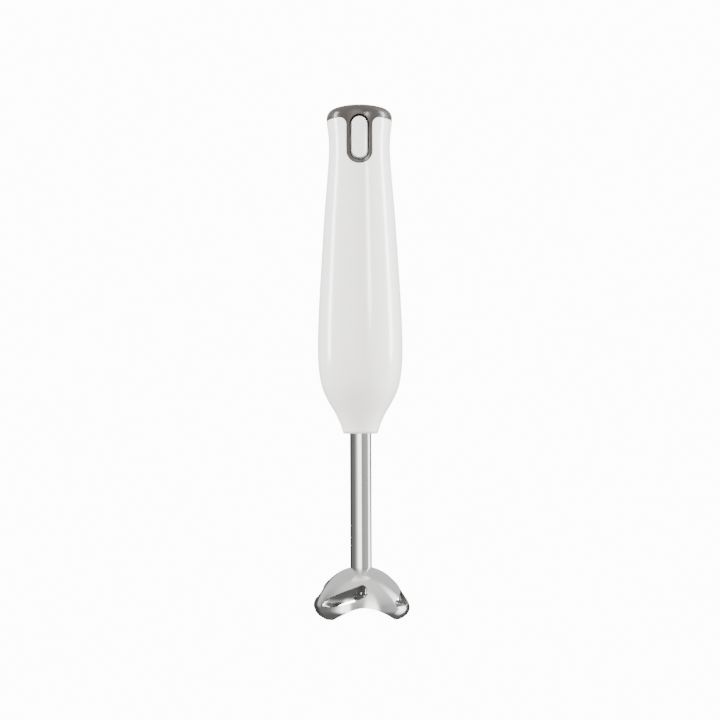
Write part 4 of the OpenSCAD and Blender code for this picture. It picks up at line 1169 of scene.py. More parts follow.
# ---------------------------------------------------------------- finishes

class Tree:
    """A short way to fill a node tree."""

    def __init__(self, tree: bpy.types.NodeTree) -> None:
        """Takes the tree to fill and empties it."""
        self.tree = tree
        tree.nodes.clear()

    def add(self, kind: str, inputs: dict | None = None, **settings: object) -> bpy.types.Node:
        """Adds a node.

        Args:
            kind: The node's type.
            inputs: Values or sockets for its inputs, by name or number.
            settings: Its other settings.

        Returns:
            The node.
        """
        node = self.tree.nodes.new(kind)
        for key, value in settings.items():
            setattr(node, key, value)
        for key, value in (inputs or {}).items():
            if isinstance(value, bpy.types.NodeSocket):
                self.tree.links.new(value, node.inputs[key])
            else:
                node.inputs[key].default_value = value
        return node

    def make(self, kind: str, inputs: dict | None = None, **settings: object) -> bpy.types.NodeSocket:
        """Adds a node and gives its first output."""
        return self.add(kind, inputs, **settings).outputs[0]

    def math(self, kind: str, a: object, b: object = 0.0, clamp: bool = False) -> bpy.types.NodeSocket:
        """Adds a math node and gives its output."""
        return self.make("ShaderNodeMath", {0: a, 1: b}, operation=kind, use_clamp=clamp)

    def times(self, a: object, b: object, clamp: bool = False) -> bpy.types.NodeSocket:
        """Multiplies."""
        return self.math("MULTIPLY", a, b, clamp)

    def plus(self, a: object, b: object) -> bpy.types.NodeSocket:
        """Adds."""
        return self.math("ADD", a, b)

    def minus(self, a: object, b: object) -> bpy.types.NodeSocket:
        """Subtracts."""
        return self.math("SUBTRACT", a, b)

    def over(self, a: object, b: object, clamp: bool = False) -> bpy.types.NodeSocket:
        """Divides."""
        return self.math("DIVIDE", a, b, clamp)

    def place(self) -> bpy.types.NodeSocket:
        """Gives the object coordinates."""
        return self.add("ShaderNodeTexCoord").outputs["Object"]

    def noise(self, place: object, scale: object, detail: float, **more: float) -> bpy.types.NodeSocket:
        """Adds a noise pattern and gives its height."""
        return self.make("ShaderNodeTexNoise", {"Vector": place, "Scale": scale, "Detail": detail} | more)

    def ramp(self, value: object, start: float, end: float) -> bpy.types.NodeSocket:
        """Rises from 0 to 1 between two values."""
        return self.make("ShaderNodeMapRange", {0: value, 1: start, 2: end})

    def mix(self, share: object, a: object, b: object) -> bpy.types.NodeSocket:
        """Adds a colour mix and gives its output."""
        node = self.add("ShaderNodeMix", data_type="RGBA")
        for socket, value in ((node.inputs[0], share), (node.inputs[6], a), (node.inputs[7], b)):
            if isinstance(value, bpy.types.NodeSocket):
                self.tree.links.new(value, socket)
            else:
                socket.default_value = value
        return node.outputs[2]

    def spread(self, value: object, low: float, high: float) -> bpy.types.NodeSocket:
        """Maps 0 to 1 onto low to high."""
        return self.make("ShaderNodeMapRange", {0: value, 3: low, 4: high})


class Effect(Enum):
    """The shared shader groups."""

    GRAIN = "surface_grain"
    MARKS = "handling_marks"
    STREAKS = "drawn_streaks"


class Effects:
    """Builds each shared shader group once."""

    @classmethod
    def get(cls, effect: Effect) -> bpy.types.NodeTree:
        """Gives a group, building it if it isn't there yet."""
        made = bpy.data.node_groups.get(effect.value)
        if made is None:
            made = bpy.data.node_groups.new(effect.value, "ShaderNodeTree")
            {Effect.GRAIN: cls.grain, Effect.MARKS: cls.marks, Effect.STREAKS: cls.streaks}[effect](made)
        return made

    @staticmethod
    def sockets(group: bpy.types.NodeTree, inputs: Sequence[tuple[str, float]],
                outputs: Sequence[str]) -> None:
        """Makes the float inputs and outputs of a group."""
        for name, value in inputs:
            group.interface.new_socket(name, in_out="INPUT", socket_type="NodeSocketFloat").default_value = value
        for name in outputs:
            group.interface.new_socket(name, in_out="OUTPUT", socket_type="NodeSocketFloat")

    @classmethod
    def grain(cls, group: bpy.types.NodeTree) -> None:
        """Fine moulded grain over a slow unevenness."""
        cls.sockets(group, [("Scale", 900.0), ("Slow Scale", 40.0), ("Slow Share", 0.5)], ["Height", "Mottle"])
        t = Tree(group)
        inp = t.add("NodeGroupInput").outputs
        place = t.place()
        fine, slow = t.noise(place, inp["Scale"], 3.0), t.noise(place, inp["Slow Scale"], 2.0)
        both = t.make("ShaderNodeMix", {0: inp["Slow Share"], 2: fine, 3: slow})
        t.add("NodeGroupOutput", {"Height": both, "Mottle": slow})

    @classmethod
    def marks(cls, group: bpy.types.NodeTree) -> None:
        """Sparse smears and hairline rubs left by hands and wiping."""
        cls.sockets(group, [("Scale", 30.0), ("Amount", 0.3)], ["Mask"])
        t = Tree(group)
        inp = t.add("NodeGroupInput").outputs
        place = t.place()
        patches = t.ramp(t.noise(place, inp["Scale"], 4.0, Distortion=0.6), 0.52, 0.74)
        fine_place = t.make("ShaderNodeMapping", {0: place, "Scale": (9.0, 9.0, 1.0)})
        hair = t.ramp(t.noise(fine_place, 160.0, 2.0), 0.63, 0.7)
        mask = t.math("MAXIMUM", patches, t.times(hair, 0.5))
        t.add("NodeGroupOutput", {"Mask": t.times(mask, inp["Amount"], clamp=True)})

    @classmethod
    def streaks(cls, group: bpy.types.NodeTree) -> None:
        """Fine lines left by drawing, turning or brushing metal."""
        cls.sockets(group, [("Scale", 500.0), ("Along X", 1.0), ("Along Y", 1.0), ("Along Z", 0.02)],
                    ["Height", "Mask"])
        t = Tree(group)
        inp = t.add("NodeGroupInput").outputs
        place = t.place()
        stretch = t.make("ShaderNodeCombineXYZ", {i: inp[i + 1] for i in range(3)})
        line_place = t.make("ShaderNodeVectorMath", {0: place, 1: stretch}, operation="MULTIPLY")
        lines = t.noise(line_place, inp["Scale"], 4.0, Roughness=0.7)
        t.add("NodeGroupOutput", {"Height": lines, "Mask": t.times(lines, t.noise(place, 60.0, 2.0))})


Colour = tuple[float, float, float]


def shade(colour: Colour, factor: float = 1.0) -> tuple[float, float, float, float]:
    """A colour with full alpha, made darker or lighter."""
    return (*(min(c * factor, 1.0) for c in colour), 1.0)


@dataclass(frozen=True)
class Finish:
    """What every finish has: a name, the record's slot and a colour."""

    name: str
    slot: str
    colour: Colour

    def fill(self, t: Tree, shader: bpy.types.Node) -> None:
        """Connects the pattern to the shader. Each kind of finish has its own."""

    def material(self) -> bpy.types.Material:
        """Gives the finish's material, building it the first time."""
        made = bpy.data.materials.get(self.name)
        if made is None:
            made = bpy.data.materials.new(self.name)
            made.use_nodes = True
            t = Tree(made.node_tree)
            shader = t.add("ShaderNodeBsdfPrincipled")
            t.add("ShaderNodeOutputMaterial", {"Surface": shader.outputs[0]})
            self.fill(t, shader)
        return made

    @staticmethod
    def group(t: Tree, effect: Effect, **values: float) -> bpy.types.Node:
        """Places a shared group with its own values."""
        node = t.add("ShaderNodeGroup", node_tree=Effects.get(effect))
        for name, value in values.items():
            node.inputs[name.replace("_", " ")].default_value = value
        return node

    @staticmethod
    def bump(t: Tree, shader: bpy.types.Node, height: bpy.types.NodeSocket, depth: float) -> None:
        """Feeds a height to the shader's normal, with its depth in metres."""
        bump = t.add("ShaderNodeBump", {"Height": height, "Distance": depth, "Strength": 1.0})
        t.tree.links.new(bump.outputs[0], shader.inputs["Normal"])


@dataclass(frozen=True)
class Moulded(Finish):
    """Injection-moulded plastic or rubber."""

    roughness: tuple[float, float] = (0.2, 0.3)
    grain: float = 1500.0
    depth: float = 2e-6
    mottle: float = 0.02
    marks: float = 0.25
    specular: float = 0.5

    def fill(self, t: Tree, shader: bpy.types.Node) -> None:
        """Connects mottled colour, rubbed gloss and fine grain."""
        grain = self.group(t, Effect.GRAIN, Scale=self.grain, Slow_Scale=35.0, Slow_Share=0.4)
        marks = self.group(t, Effect.MARKS, Scale=28.0, Amount=self.marks)
        colour = t.mix(grain.outputs["Mottle"], shade(self.colour, 1 - self.mottle),
                       shade(self.colour, 1 + self.mottle))
        t.tree.links.new(colour, shader.inputs["Base Color"])
        t.tree.links.new(t.spread(marks.outputs["Mask"], *self.roughness), shader.inputs["Roughness"])
        shader.inputs["Specular IOR Level"].default_value = self.specular
        self.bump(t, shader, grain.outputs["Height"], self.depth)


class Lay(Enum):
    """Direction of the fine lines in a metal surface, as stretch along X, Y and Z."""

    UPRIGHT = (1.0, 1.0, 0.02)
    LEVEL = (0.03, 0.03, 1.0)
    EVEN = (1.0, 1.0, 1.0)


@dataclass(frozen=True)
class Metal(Finish):
    """Bare metal with drawn, brushed or tumbled lines."""

    roughness: tuple[float, float] = (0.12, 0.22)
    lay: Lay = Lay.UPRIGHT
    scale: float = 2500.0
    depth: float = 1e-6
    tint: Colour = (0.5, 0.48, 0.45)
    patina: float = 0.15

    def fill(self, t: Tree, shader: bpy.types.Node) -> None:
        """Connects lined gloss and a slight uneven tone."""
        x, y, z = self.lay.value
        lines = self.group(t, Effect.STREAKS, Scale=self.scale, Along_X=x, Along_Y=y, Along_Z=z)
        marks = self.group(t, Effect.MARKS, Scale=60.0, Amount=self.patina)
        colour = t.mix(marks.outputs["Mask"], shade(self.colour), shade(self.tint))
        t.tree.links.new(colour, shader.inputs["Base Color"])
        rough = t.make("ShaderNodeMapRange", {0: lines.outputs["Mask"], 1: 0.1, 2: 0.45,
                                             3: self.roughness[0], 4: self.roughness[1]})
        t.tree.links.new(rough, shader.inputs["Roughness"])
        shader.inputs["Metallic"].default_value = 1.0
        self.bump(t, shader, lines.outputs["Height"], self.depth)


@dataclass(frozen=True)
class Striped(Finish):
    """Thin layers or turns of wire along one axis, such as laminations and windings."""

    pitch: float = 0.6
    axis: str = "Z"
    gap: Colour = (0.02, 0.02, 0.02)
    metallic: float = 0.8
    roughness: float = 0.35
    depth: float = 4e-5

    def fill(self, t: Tree, shader: bpy.types.Node) -> None:
        """Connects the stripes to colour, gloss and height."""
        place = t.place()
        wave = t.add("ShaderNodeTexWave", {"Vector": place, "Scale": math.pi / (10 * self.pitch * MM),
                                           "Distortion": 0.3, "Detail": 1.0, "Detail Scale": 0.5},
                     wave_type="BANDS", bands_direction=self.axis, wave_profile="SIN").outputs[1]
        line = t.ramp(wave, 0.05, 0.5)
        grain = self.group(t, Effect.GRAIN, Scale=700.0, Slow_Scale=120.0, Slow_Share=0.6)
        body = t.mix(grain.outputs["Mottle"], shade(self.colour, 0.85), shade(self.colour, 1.1))
        t.tree.links.new(t.mix(line, shade(self.gap), body), shader.inputs["Base Color"])
        t.tree.links.new(t.spread(grain.outputs["Mottle"], self.roughness - 0.08, self.roughness + 0.1),
                         shader.inputs["Roughness"])
        shader.inputs["Metallic"].default_value = self.metallic
        self.bump(t, shader, wave, self.depth)


WHITE = Moulded("white_abs", "white_plastic", (0.84, 0.82, 0.80), (0.17, 0.26), 500.0, 1.2e-6, 0.01, 0.3)
BUTTON_WHITE = Moulded("button_white_abs", "white_plastic", (0.82, 0.81, 0.79), (0.16, 0.26), 700.0, 1.5e-6,
                       0.01, 0.3)
GREY = Moulded("warm_grey_abs", "grey_plastic", (0.036, 0.032, 0.029), (0.24, 0.36), 500.0, 1.5e-6, 0.05, 0.3,
               specular=0.3)
BLACK = Moulded("black_abs", "black_plastic", (0.02, 0.02, 0.021), (0.34, 0.5), 1400.0, 6e-6, 0.1, 0.3)
DARK_NYLON = Moulded("filled_black_nylon", "dark_nylon", (0.035, 0.035, 0.038), (0.4, 0.55), 900.0, 1e-5, 0.15)
PALE_NYLON = Moulded("natural_nylon", "pale_nylon", (0.66, 0.62, 0.52), (0.32, 0.45), 900.0, 6e-6, 0.05)
RED = Moulded("red_plastic_plunger", "red_plastic", (0.5, 0.03, 0.02), (0.28, 0.4), 1200.0, 4e-6, 0.06)
GREEN = Moulded("green_terminal_plastic", "green_plastic", (0.03, 0.27, 0.09), (0.3, 0.42), 1200.0, 4e-6, 0.06)
YELLOW = Moulded("yellow_film_case", "yellow_plastic", (0.75, 0.5, 0.05), (0.24, 0.36), 1200.0, 3e-6, 0.05)
# Near-black, darker than the other rubber: painted shade for the gap round the button, laid on the seal under it.
GROOVE_SHADE = Moulded("groove_rubber_painted_shade", "black_rubber", (0.004, 0.004, 0.004), (0.7, 0.85), 1600.0, 1.2e-5, 0.2,
                 specular=0.15)
RUBBER = Moulded("black_rubber_skin", "black_rubber", (0.018, 0.018, 0.018), (0.55, 0.7), 1600.0, 1.2e-5, 0.15)
BROWN_WIRE = Moulded("brown_pvc", "brown_insulation", (0.12, 0.045, 0.02), (0.35, 0.45), 1500.0, 3e-6, 0.08)
BLUE_WIRE = Moulded("blue_pvc", "blue_insulation", (0.02, 0.10, 0.42), (0.35, 0.45), 1500.0, 3e-6, 0.08)
CARBON = Moulded("pressed_carbon", "carbon", (0.03, 0.03, 0.032), (0.45, 0.6), 2200.0, 1.2e-5, 0.25)
BOARD = Moulded("board_solder_mask", "board_laminate", (0.012, 0.12, 0.045), (0.25, 0.4), 600.0, 1e-5, 0.3)
TUBE_STEEL = Metal("drawn_stainless", "stainless", (0.70, 0.695, 0.685), (0.07, 0.13), Lay.UPRIGHT, 3000.0, 3e-7)
BELL_STEEL = Metal("pressed_stainless", "stainless", (0.72, 0.715, 0.705), (0.12, 0.2), Lay.LEVEL, 2500.0, 5e-7)
BLADE_STEEL = Metal("ground_blade_steel", "blade_steel", (0.66, 0.66, 0.66), (0.18, 0.32), Lay.EVEN, 2500.0, 2e-6)
SHAFT_STEEL = Metal("ground_shaft_steel", "shaft_steel", (0.6, 0.6, 0.6), (0.12, 0.25), Lay.LEVEL, 3000.0, 8e-7)
BEARING_STEEL = Metal("bearing_ring_steel", "bearing_steel", (0.62, 0.62, 0.64), (0.1, 0.2), Lay.LEVEL, 3000.0)
SCREW_STEEL = Metal("zinc_plated_steel", "screw_steel", (0.62, 0.63, 0.62), (0.25, 0.4), Lay.EVEN, 900.0, 2e-6,
                    (0.45, 0.43, 0.32), 0.4)
SPRING_STEEL = Metal("spring_wire_steel", "spring_steel", (0.5, 0.5, 0.52), (0.2, 0.35), Lay.EVEN, 2500.0, 1e-6)
BRASS = Metal("stamped_brass", "brass", (0.78, 0.56, 0.24), (0.22, 0.36), Lay.EVEN, 1500.0, 2e-6,
              (0.5, 0.33, 0.12), 0.35)
BRONZE = Metal("sintered_bronze", "bronze", (0.55, 0.34, 0.17), (0.35, 0.5), Lay.EVEN, 3500.0, 8e-6,
               (0.3, 0.17, 0.08), 0.5)
COPPER_BARS = Metal("turned_copper", "copper", (0.80, 0.40, 0.25), (0.2, 0.35), Lay.LEVEL, 2500.0, 2e-6,
                    (0.4, 0.18, 0.1), 0.4)
ENAMEL = Metal("enamelled_wire", "copper", (0.50, 0.17, 0.06), (0.14, 0.26), Lay.EVEN, 1200.0, 1e-6,
               (0.3, 0.09, 0.03), 0.3)
SOLDER = Metal("tin_solder", "screw_steel", (0.62, 0.62, 0.6), (0.22, 0.38), Lay.EVEN, 900.0, 2e-6,
               (0.4, 0.38, 0.33), 0.4)
LAMINATIONS = Striped("stacked_laminations", "core_steel", (0.23, 0.235, 0.25), 0.5, "Z", (0.05, 0.05, 0.055),
                      0.9, 0.42, 3e-5)
WINDING = Striped("enamelled_winding", "copper", (0.50, 0.17, 0.06), 0.5, "Z", (0.12, 0.03, 0.01), 0.75, 0.3)
END_WINDING = Striped("enamelled_end_turns", "copper", (0.50, 0.17, 0.06), 0.5, "DIAGONAL", (0.12, 0.03, 0.01),
                      0.75, 0.3)

NODE_FINISHES: dict[Finish, tuple[str, ...]] = {
    RUBBER: ("button_seal", "cord_gland", "upper_damper", "lower_damper", "shaft_seal"),
    BLACK: ("switch_bracket", "switch_body", "cord_clamp", "motor_coupling", "rectifier_diodes"),
    DARK_NYLON: ("bearing_carrier", "leg_socket", "cooling_fan", "upper_motor_bracket", "lower_motor_bracket"),
    PALE_NYLON: ("shaft_coupling", "thrust_washer"),
    RED: ("switch_plunger",),
    GREEN: ("terminal_block",),
    YELLOW: ("capacitor",),
    CARBON: ("brushes",),
    BOARD: ("circuit_board",),
    BROWN_WIRE: ("switch_wires",),
    BLUE_WIRE: ("brush_wires",),
    TUBE_STEEL: ("leg_tube", "blade_hub", "blade_nut"),
    BELL_STEEL: ("bell_guard",),
    BLADE_STEEL: ("blade",),
    SHAFT_STEEL: ("motor_shaft", "drive_shaft"),
    BEARING_STEEL: ("upper_motor_bearing", "lower_motor_bearing"),
    SCREW_STEEL: ("bracket_screws", "switch_screws", "shell_screws", "clamp_screws", "board_screws",
                  "motor_screws"),
    SPRING_STEEL: ("button_spring", "brush_springs"),
    BRASS: ("brush_holders", "switch_terminals"),
    BRONZE: ("upper_leg_bush", "lower_leg_bush"),
    COPPER_BARS: ("commutator",),
    LAMINATIONS: ("stator_core", "armature_core"),
    WINDING: ("choke", "field_coils"),
    END_WINDING: ("armature_windings",),
    WHITE: ("front_shell", "rear_shell"),
    BUTTON_WHITE: ("power_button",),
    GREY: ("top_cap",),
}


# ---------------------------------------------------------------- repeated, wound and routed parts

class GeoTree(Tree):
    """A geometry node tree with named sizes in millimetres, run once to make a plain mesh."""

    def __init__(self, name: str, sizes: dict[str, float | int | tuple]) -> None:
        """Makes the tree and its inputs.

        Args:
            name: Name of the tree.
            sizes: Value of each input, by name.
        """
        super().__init__(bpy.data.node_groups.new(name, "GeometryNodeTree"))
        face = self.tree.interface
        face.new_socket("Geometry", in_out="INPUT", socket_type="NodeSocketGeometry")
        face.new_socket("Geometry", in_out="OUTPUT", socket_type="NodeSocketGeometry")
        self.values = {}
        for label, value in sizes.items():
            kind = {int: "Int", float: "Float", tuple: "Vector"}[type(value)]
            socket = face.new_socket(label, in_out="INPUT", socket_type="NodeSocket" + kind)
            self.values[socket.identifier] = value
        self.entry = self.add("NodeGroupInput").outputs

    def vector(self, x: object = 0.0, y: object = 0.0, z: object = 0.0) -> bpy.types.NodeSocket:
        """Joins three numbers into a vector."""
        return self.make("ShaderNodeCombineXYZ", {0: x, 1: y, 2: z})

    def parts(self) -> bpy.types.NodeOutputs:
        """Gives the position's three numbers."""
        here = self.make("GeometryNodeInputPosition")
        return self.add("ShaderNodeSeparateXYZ", {0: here}).outputs

    def moved(self, geometry: object, place: object, turn: object = (0, 0, 0)) -> bpy.types.NodeSocket:
        """Turns a geometry, then moves it."""
        return self.make("GeometryNodeTransform", {"Geometry": geometry, "Translation": place,
                                                  "Rotation": turn})

    def placed(self, geometry: object, position: object) -> bpy.types.NodeSocket:
        """Puts each point of a geometry at a computed position."""
        return self.make("GeometryNodeSetPosition", {"Geometry": geometry, "Position": position})

    def tube(self, curve: object, radius: object, sides: int = 8) -> bpy.types.NodeSocket:
        """Gives a curve a round section with closed ends."""
        rim = self.make("GeometryNodeCurvePrimitiveCircle", {"Resolution": sides, "Radius": radius})
        return self.make("GeometryNodeCurveToMesh", {"Curve": curve, "Profile Curve": rim,
                                                    "Fill Caps": True})

    def join(self, *geometries: object) -> bpy.types.NodeSocket:
        """Joins geometries."""
        node = self.add("GeometryNodeJoinGeometry")
        for geometry in geometries:
            self.tree.links.new(geometry, node.inputs[0])
        return node.outputs[0]

    def copies(self, geometry: object, points: object, turn: object) -> bpy.types.NodeSocket:
        """Puts a copy of a geometry at each point, with a turn in radians."""
        turned_by = self.make("FunctionNodeEulerToRotation", {0: turn})
        return self.make("GeometryNodeInstanceOnPoints", {"Points": points, "Instance": geometry,
                                                         "Rotation": turned_by})

    def ring(self, geometry: object, count: object) -> bpy.types.NodeSocket:
        """Puts copies of a geometry evenly round the Z axis."""
        points = self.make("GeometryNodeMeshLine", {"Count": count, "Offset": (0, 0, 0)})
        index = self.make("GeometryNodeInputIndex")
        step = self.over(2 * math.pi, count)
        return self.copies(geometry, points, self.vector(z=self.times(index, step)))

    def bake(self, name: str, geometry: object, finish: "Finish", points: Sequence = (),
             links: Sequence = (), faces: Sequence = ()) -> bpy.types.Object:
        """Ends the tree, runs it on a starting mesh and keeps the result as a plain mesh.

        Args:
            name: Name of the new object.
            geometry: The socket that the tree ends with.
            finish: Finish of the mesh.
            points: Positions of the starting mesh, in millimetres.
            links: Its edges.
            faces: Its faces.

        Returns:
            The new object, linked to the scene.
        """
        real = self.make("GeometryNodeRealizeInstances", {0: geometry})
        self.add("NodeGroupOutput", {0: self.make(
            "GeometryNodeSetMaterial", {"Geometry": real, "Material": finish.material()})})
        start = bpy.data.meshes.new(name + "_start")
        start.from_pydata([tuple(map(float, p)) for p in points], list(links), [list(f) for f in faces])
        piece = linked(name, start)
        modifier = piece.modifiers.new(self.tree.name, "NODES")
        modifier.node_group = self.tree
        for identifier, value in self.values.items():
            modifier[identifier] = value
        graph = bpy.context.evaluated_depsgraph_get()
        mesh = bpy.data.meshes.new_from_object(piece.evaluated_get(graph))
        piece.modifiers.remove(modifier)
        mesh.transform(Matrix.Scale(MM, 4))
        mesh.shade_smooth()
        mesh.set_sharp_from_angle(angle=math.radians(40))
        piece.data = mesh
        return piece


@dataclass
class Works:
    """The screws, springs, wires, windings and other repeated parts inside the grip."""

    head_r: float = 2.6
    head_h: float = 1.8
    shank_r: float = 1.5
    pitch: float = 1.0
    thread: float = 0.25
    wire_r: float = 0.9
    slots: int = 12
    bundle_r: float = 1.42
    blades: int = 12

    def screws(self, name: str, places: Sequence[tuple[float, float, float]], turn: tuple[float, float, float],
               length: float) -> bpy.types.Object:
        """Builds cross-recessed pan-head screws.

        Args:
            name: Name of the piece.
            places: Where each head's underside is.
            turn: Turn in degrees from a screw whose shank runs up.
            length: Length of the shank.

        Returns:
            The screws as one mesh.
        """
        rows = 2 * round(length / self.pitch) + 1
        t = GeoTree(name + "_tree", {
            "Head Radius": self.head_r, "Head Height": self.head_h, "Shank Radius": self.shank_r,
            "Shank Length": length, "Pitch": self.pitch, "Thread": self.thread, "Rows": rows,
            "Turn": tuple(math.radians(a) for a in turn)})
        e = t.entry
        head = t.make("GeometryNodeMeshCylinder", {"Vertices": 20, "Side Segments": 2, "Fill Segments": 3,
                                                  "Radius": e["Head Radius"], "Depth": e["Head Height"]})
        head = t.moved(head, t.vector(z=t.times(e["Head Height"], -0.5)))
        x, y, z = t.parts()
        out = t.over(t.math("SQRT", t.plus(t.times(x, x), t.times(y, y))),
                     e["Head Radius"])
        up = t.over(z, e["Head Height"])
        dome = t.times(t.times(up, up), t.math("POWER", out, 2.4))
        drop = t.times(dome, t.times(e["Head Height"], 0.42))
        head = t.placed(head, t.vector(x, y, t.plus(z, drop)))
        bars = [t.moved(t.make("GeometryNodeMeshCube", {"Size": size}),
                        t.vector(z=t.minus(0.3, e["Head Height"])))
                for size in ((3.1, 0.75, 1.6), (0.75, 3.1, 1.6))]
        cut = t.add("GeometryNodeMeshBoolean", {"Mesh 1": head}, operation="DIFFERENCE", solver="EXACT")
        for bar in bars:
            t.tree.links.new(bar, cut.inputs["Mesh 2"])
        shank = t.make("GeometryNodeMeshCylinder", {"Vertices": 12, "Side Segments": e["Rows"], "Fill Segments": 1,
                                                   "Radius": e["Shank Radius"], "Depth": e["Shank Length"]})
        shank = t.moved(shank, t.vector(z=t.times(e["Shank Length"], 0.5)))
        x, y, z = t.parts()
        phase = t.math("FRACT", t.over(z, e["Pitch"]))
        wave = t.times(t.math("ABSOLUTE", t.minus(phase, 0.5)), 2.0)
        thin = t.minus(1.0, t.times(wave, t.over(e["Thread"], e["Shank Radius"])))
        point = t.over(t.minus(t.plus(e["Shank Length"], 0.3), z), 1.5, clamp=True)
        slim = t.times(thin, point)
        shank = t.placed(shank, t.vector(t.times(x, slim), t.times(y, slim), z))
        return t.bake(name, t.copies(t.join(cut.outputs[0], shank), e["Geometry"], e["Turn"]), SCREW_STEEL, places)

    def spring(self, name: str, place: tuple[float, float, float], turn: tuple[float, float, float],
               size: tuple[float, float, float, float], count: int = 1) -> bpy.types.Object:
        """Builds coil springs with closed ends.

        Args:
            name: Name of the piece.
            place: Where the first coil starts.
            turn: Turn in degrees from a coil that runs up.
            size: Radius to the wire's middle, wire radius, length and number of turns.
            count: Number of springs round the Z axis.

        Returns:
            The springs as one mesh.
        """
        radius, wire, length, turns = size
        t = GeoTree(name + "_tree", {"Radius": radius, "Wire": wire, "Length": length, "Turns": turns,
                                     "Place": place, "Turn": tuple(math.radians(a) for a in turn), "Count": count})
        e = t.entry
        coil = t.make("GeometryNodeCurveSpiral", {
            "Resolution": 20, "Rotations": e["Turns"], "Start Radius": e["Radius"], "End Radius": e["Radius"],
            "Height": e["Length"]})
        x, y, _ = t.parts()
        share = t.add("GeometryNodeSplineParameter").outputs["Factor"]
        rise = t.minus(e["Length"], t.times(e["Wire"], 2.0))
        climb = t.make("ShaderNodeMapRange", {0: share, 1: 0.12, 2: 0.88, 4: rise},
                      interpolation_type="SMOOTHSTEP")
        coil = t.placed(coil, t.vector(x, y, t.plus(climb, e["Wire"])))
        coil = t.moved(t.tube(coil, e["Wire"]), e["Place"], e["Turn"])
        return t.bake(name, t.ring(coil, e["Count"]), SPRING_STEEL)

    def wires(self, name: str, route: Sequence[tuple[float, float, float]], finish: "Finish") -> bpy.types.Object:
        """Builds a pair of wires, one on each side, that follow a route with rounded bends.

        Args:
            name: Name of the piece.
            route: Points of the wire on the +X side.
            finish: Finish of its insulation.

        Returns:
            The two wires as one mesh.
        """
        t = GeoTree(name + "_tree", {"Radius": self.wire_r, "Bend": 2.4})
        e = t.entry
        curve = t.make("GeometryNodeMeshToCurve", {0: e["Geometry"]})
        curve = t.make("GeometryNodeFilletCurve", {"Curve": curve, "Radius": e["Bend"], "Count": 6,
                                                  "Limit Radius": True}, mode="POLY")
        n = len(route)
        points = [(s * x, y, z) for s in (1, -1) for x, y, z in route]
        links = [(i, i + 1) for i in range(2 * n - 1) if i != n - 1]
        return t.bake(name, t.tube(curve, e["Radius"], 10), finish, points, links)

    def choke(self) -> bpy.types.Object:
        """Builds the choke: a ring core wound with enamelled wire."""
        low, high = box("choke")
        place = tuple((a + b) / 2 for a, b in zip(low, high))
        t = GeoTree("toroid_tree", {"Ring": 5.0, "Core": 1.15, "Wrap": 1.56, "Wire": 0.42, "Turns": 30.0,
                                    "Stretch": 1.45, "Place": place})
        e = t.entry
        ring = t.make("GeometryNodeCurvePrimitiveCircle", {"Resolution": 40, "Radius": e["Ring"]})
        core = t.tube(ring, e["Core"], 12)
        line = t.make("GeometryNodeCurvePrimitiveLine")
        line = t.make("GeometryNodeResampleCurve", {"Curve": line, "Count": 420})
        share = t.add("GeometryNodeSplineParameter").outputs["Factor"]
        a = t.times(share, 2 * math.pi * 0.97)
        b = t.times(t.times(share, e["Turns"]), 2 * math.pi)
        r = t.plus(e["Ring"], t.times(e["Wrap"], t.math("COSINE", b)))
        high_by = t.times(t.times(e["Wrap"], e["Stretch"]), t.math("SINE", b))
        line = t.placed(line, t.vector(t.times(r, t.math("COSINE", a)),
                                       t.times(r, t.math("SINE", a)), high_by))
        both = t.join(core, t.tube(line, e["Wire"], 6))
        return t.bake("choke_wound", t.moved(both, e["Place"], (math.pi / 2, 0, 0)), ENAMEL)

    def field_coils(self) -> bpy.types.Object:
        """Builds the two field coils from loops of wire bent round the armature."""
        low, high = box("field_coils")
        reach, tall, radius, wire = high[1] - 0.12, (high[2] - low[2]) / 2 - 0.05, high[0] - 0.3, 0.55
        columns, layers = 6, 3
        t = GeoTree("field_coil_tree", {
            "Half Width": reach - wire - 5 * 1.15, "Half Height": tall - wire - 5 * 1.05, "Step Out": 1.15,
            "Step Up": 1.05, "Radius": radius - wire - 2 * 1.3, "Layer": 1.3, "Wire": wire, "Columns": columns,
            "Loops": columns * layers, "Middle": (low[2] + high[2]) / 2, "Poles": 2})
        e = t.entry
        loop = t.make("GeometryNodeCurvePrimitiveQuadrilateral", {
            0: t.times(e["Half Width"], 2.0), 1: t.times(e["Half Height"], 2.0)})
        loop = t.make("GeometryNodeFilletCurve", {"Curve": loop, "Radius": 3.0, "Count": 4, "Limit Radius": True},
                     mode="POLY")
        loop = t.make("GeometryNodeResampleCurve", {"Curve": loop, "Count": 56})
        many = t.add("GeometryNodeDuplicateElements", {"Geometry": loop, "Amount": e["Loops"]}, domain="SPLINE")
        column = t.math("MODULO", many.outputs[1], e["Columns"])
        layer = t.math("FLOOR", t.over(many.outputs[1], e["Columns"]))
        x, y, _ = t.parts()

        def grown(value: object, half: object, step: object) -> bpy.types.NodeSocket:
            """Moves one side of the loop outwards by its column's steps."""
            more = t.over(t.times(column, step), half)
            return t.times(value, t.plus(more, 1.0))

        side, up = grown(x, e["Half Width"], e["Step Out"]), grown(y, e["Half Height"], e["Step Up"])
        r = t.plus(e["Radius"], t.times(layer, e["Layer"]))
        depth = t.math("SQRT", t.minus(t.times(r, r), t.times(side, side)))
        bent = t.placed(many.outputs[0], t.vector(depth, side, t.plus(up, e["Middle"])))
        return t.bake("field_coils_wound", t.ring(t.tube(bent, e["Wire"], 6), e["Poles"]), ENAMEL)

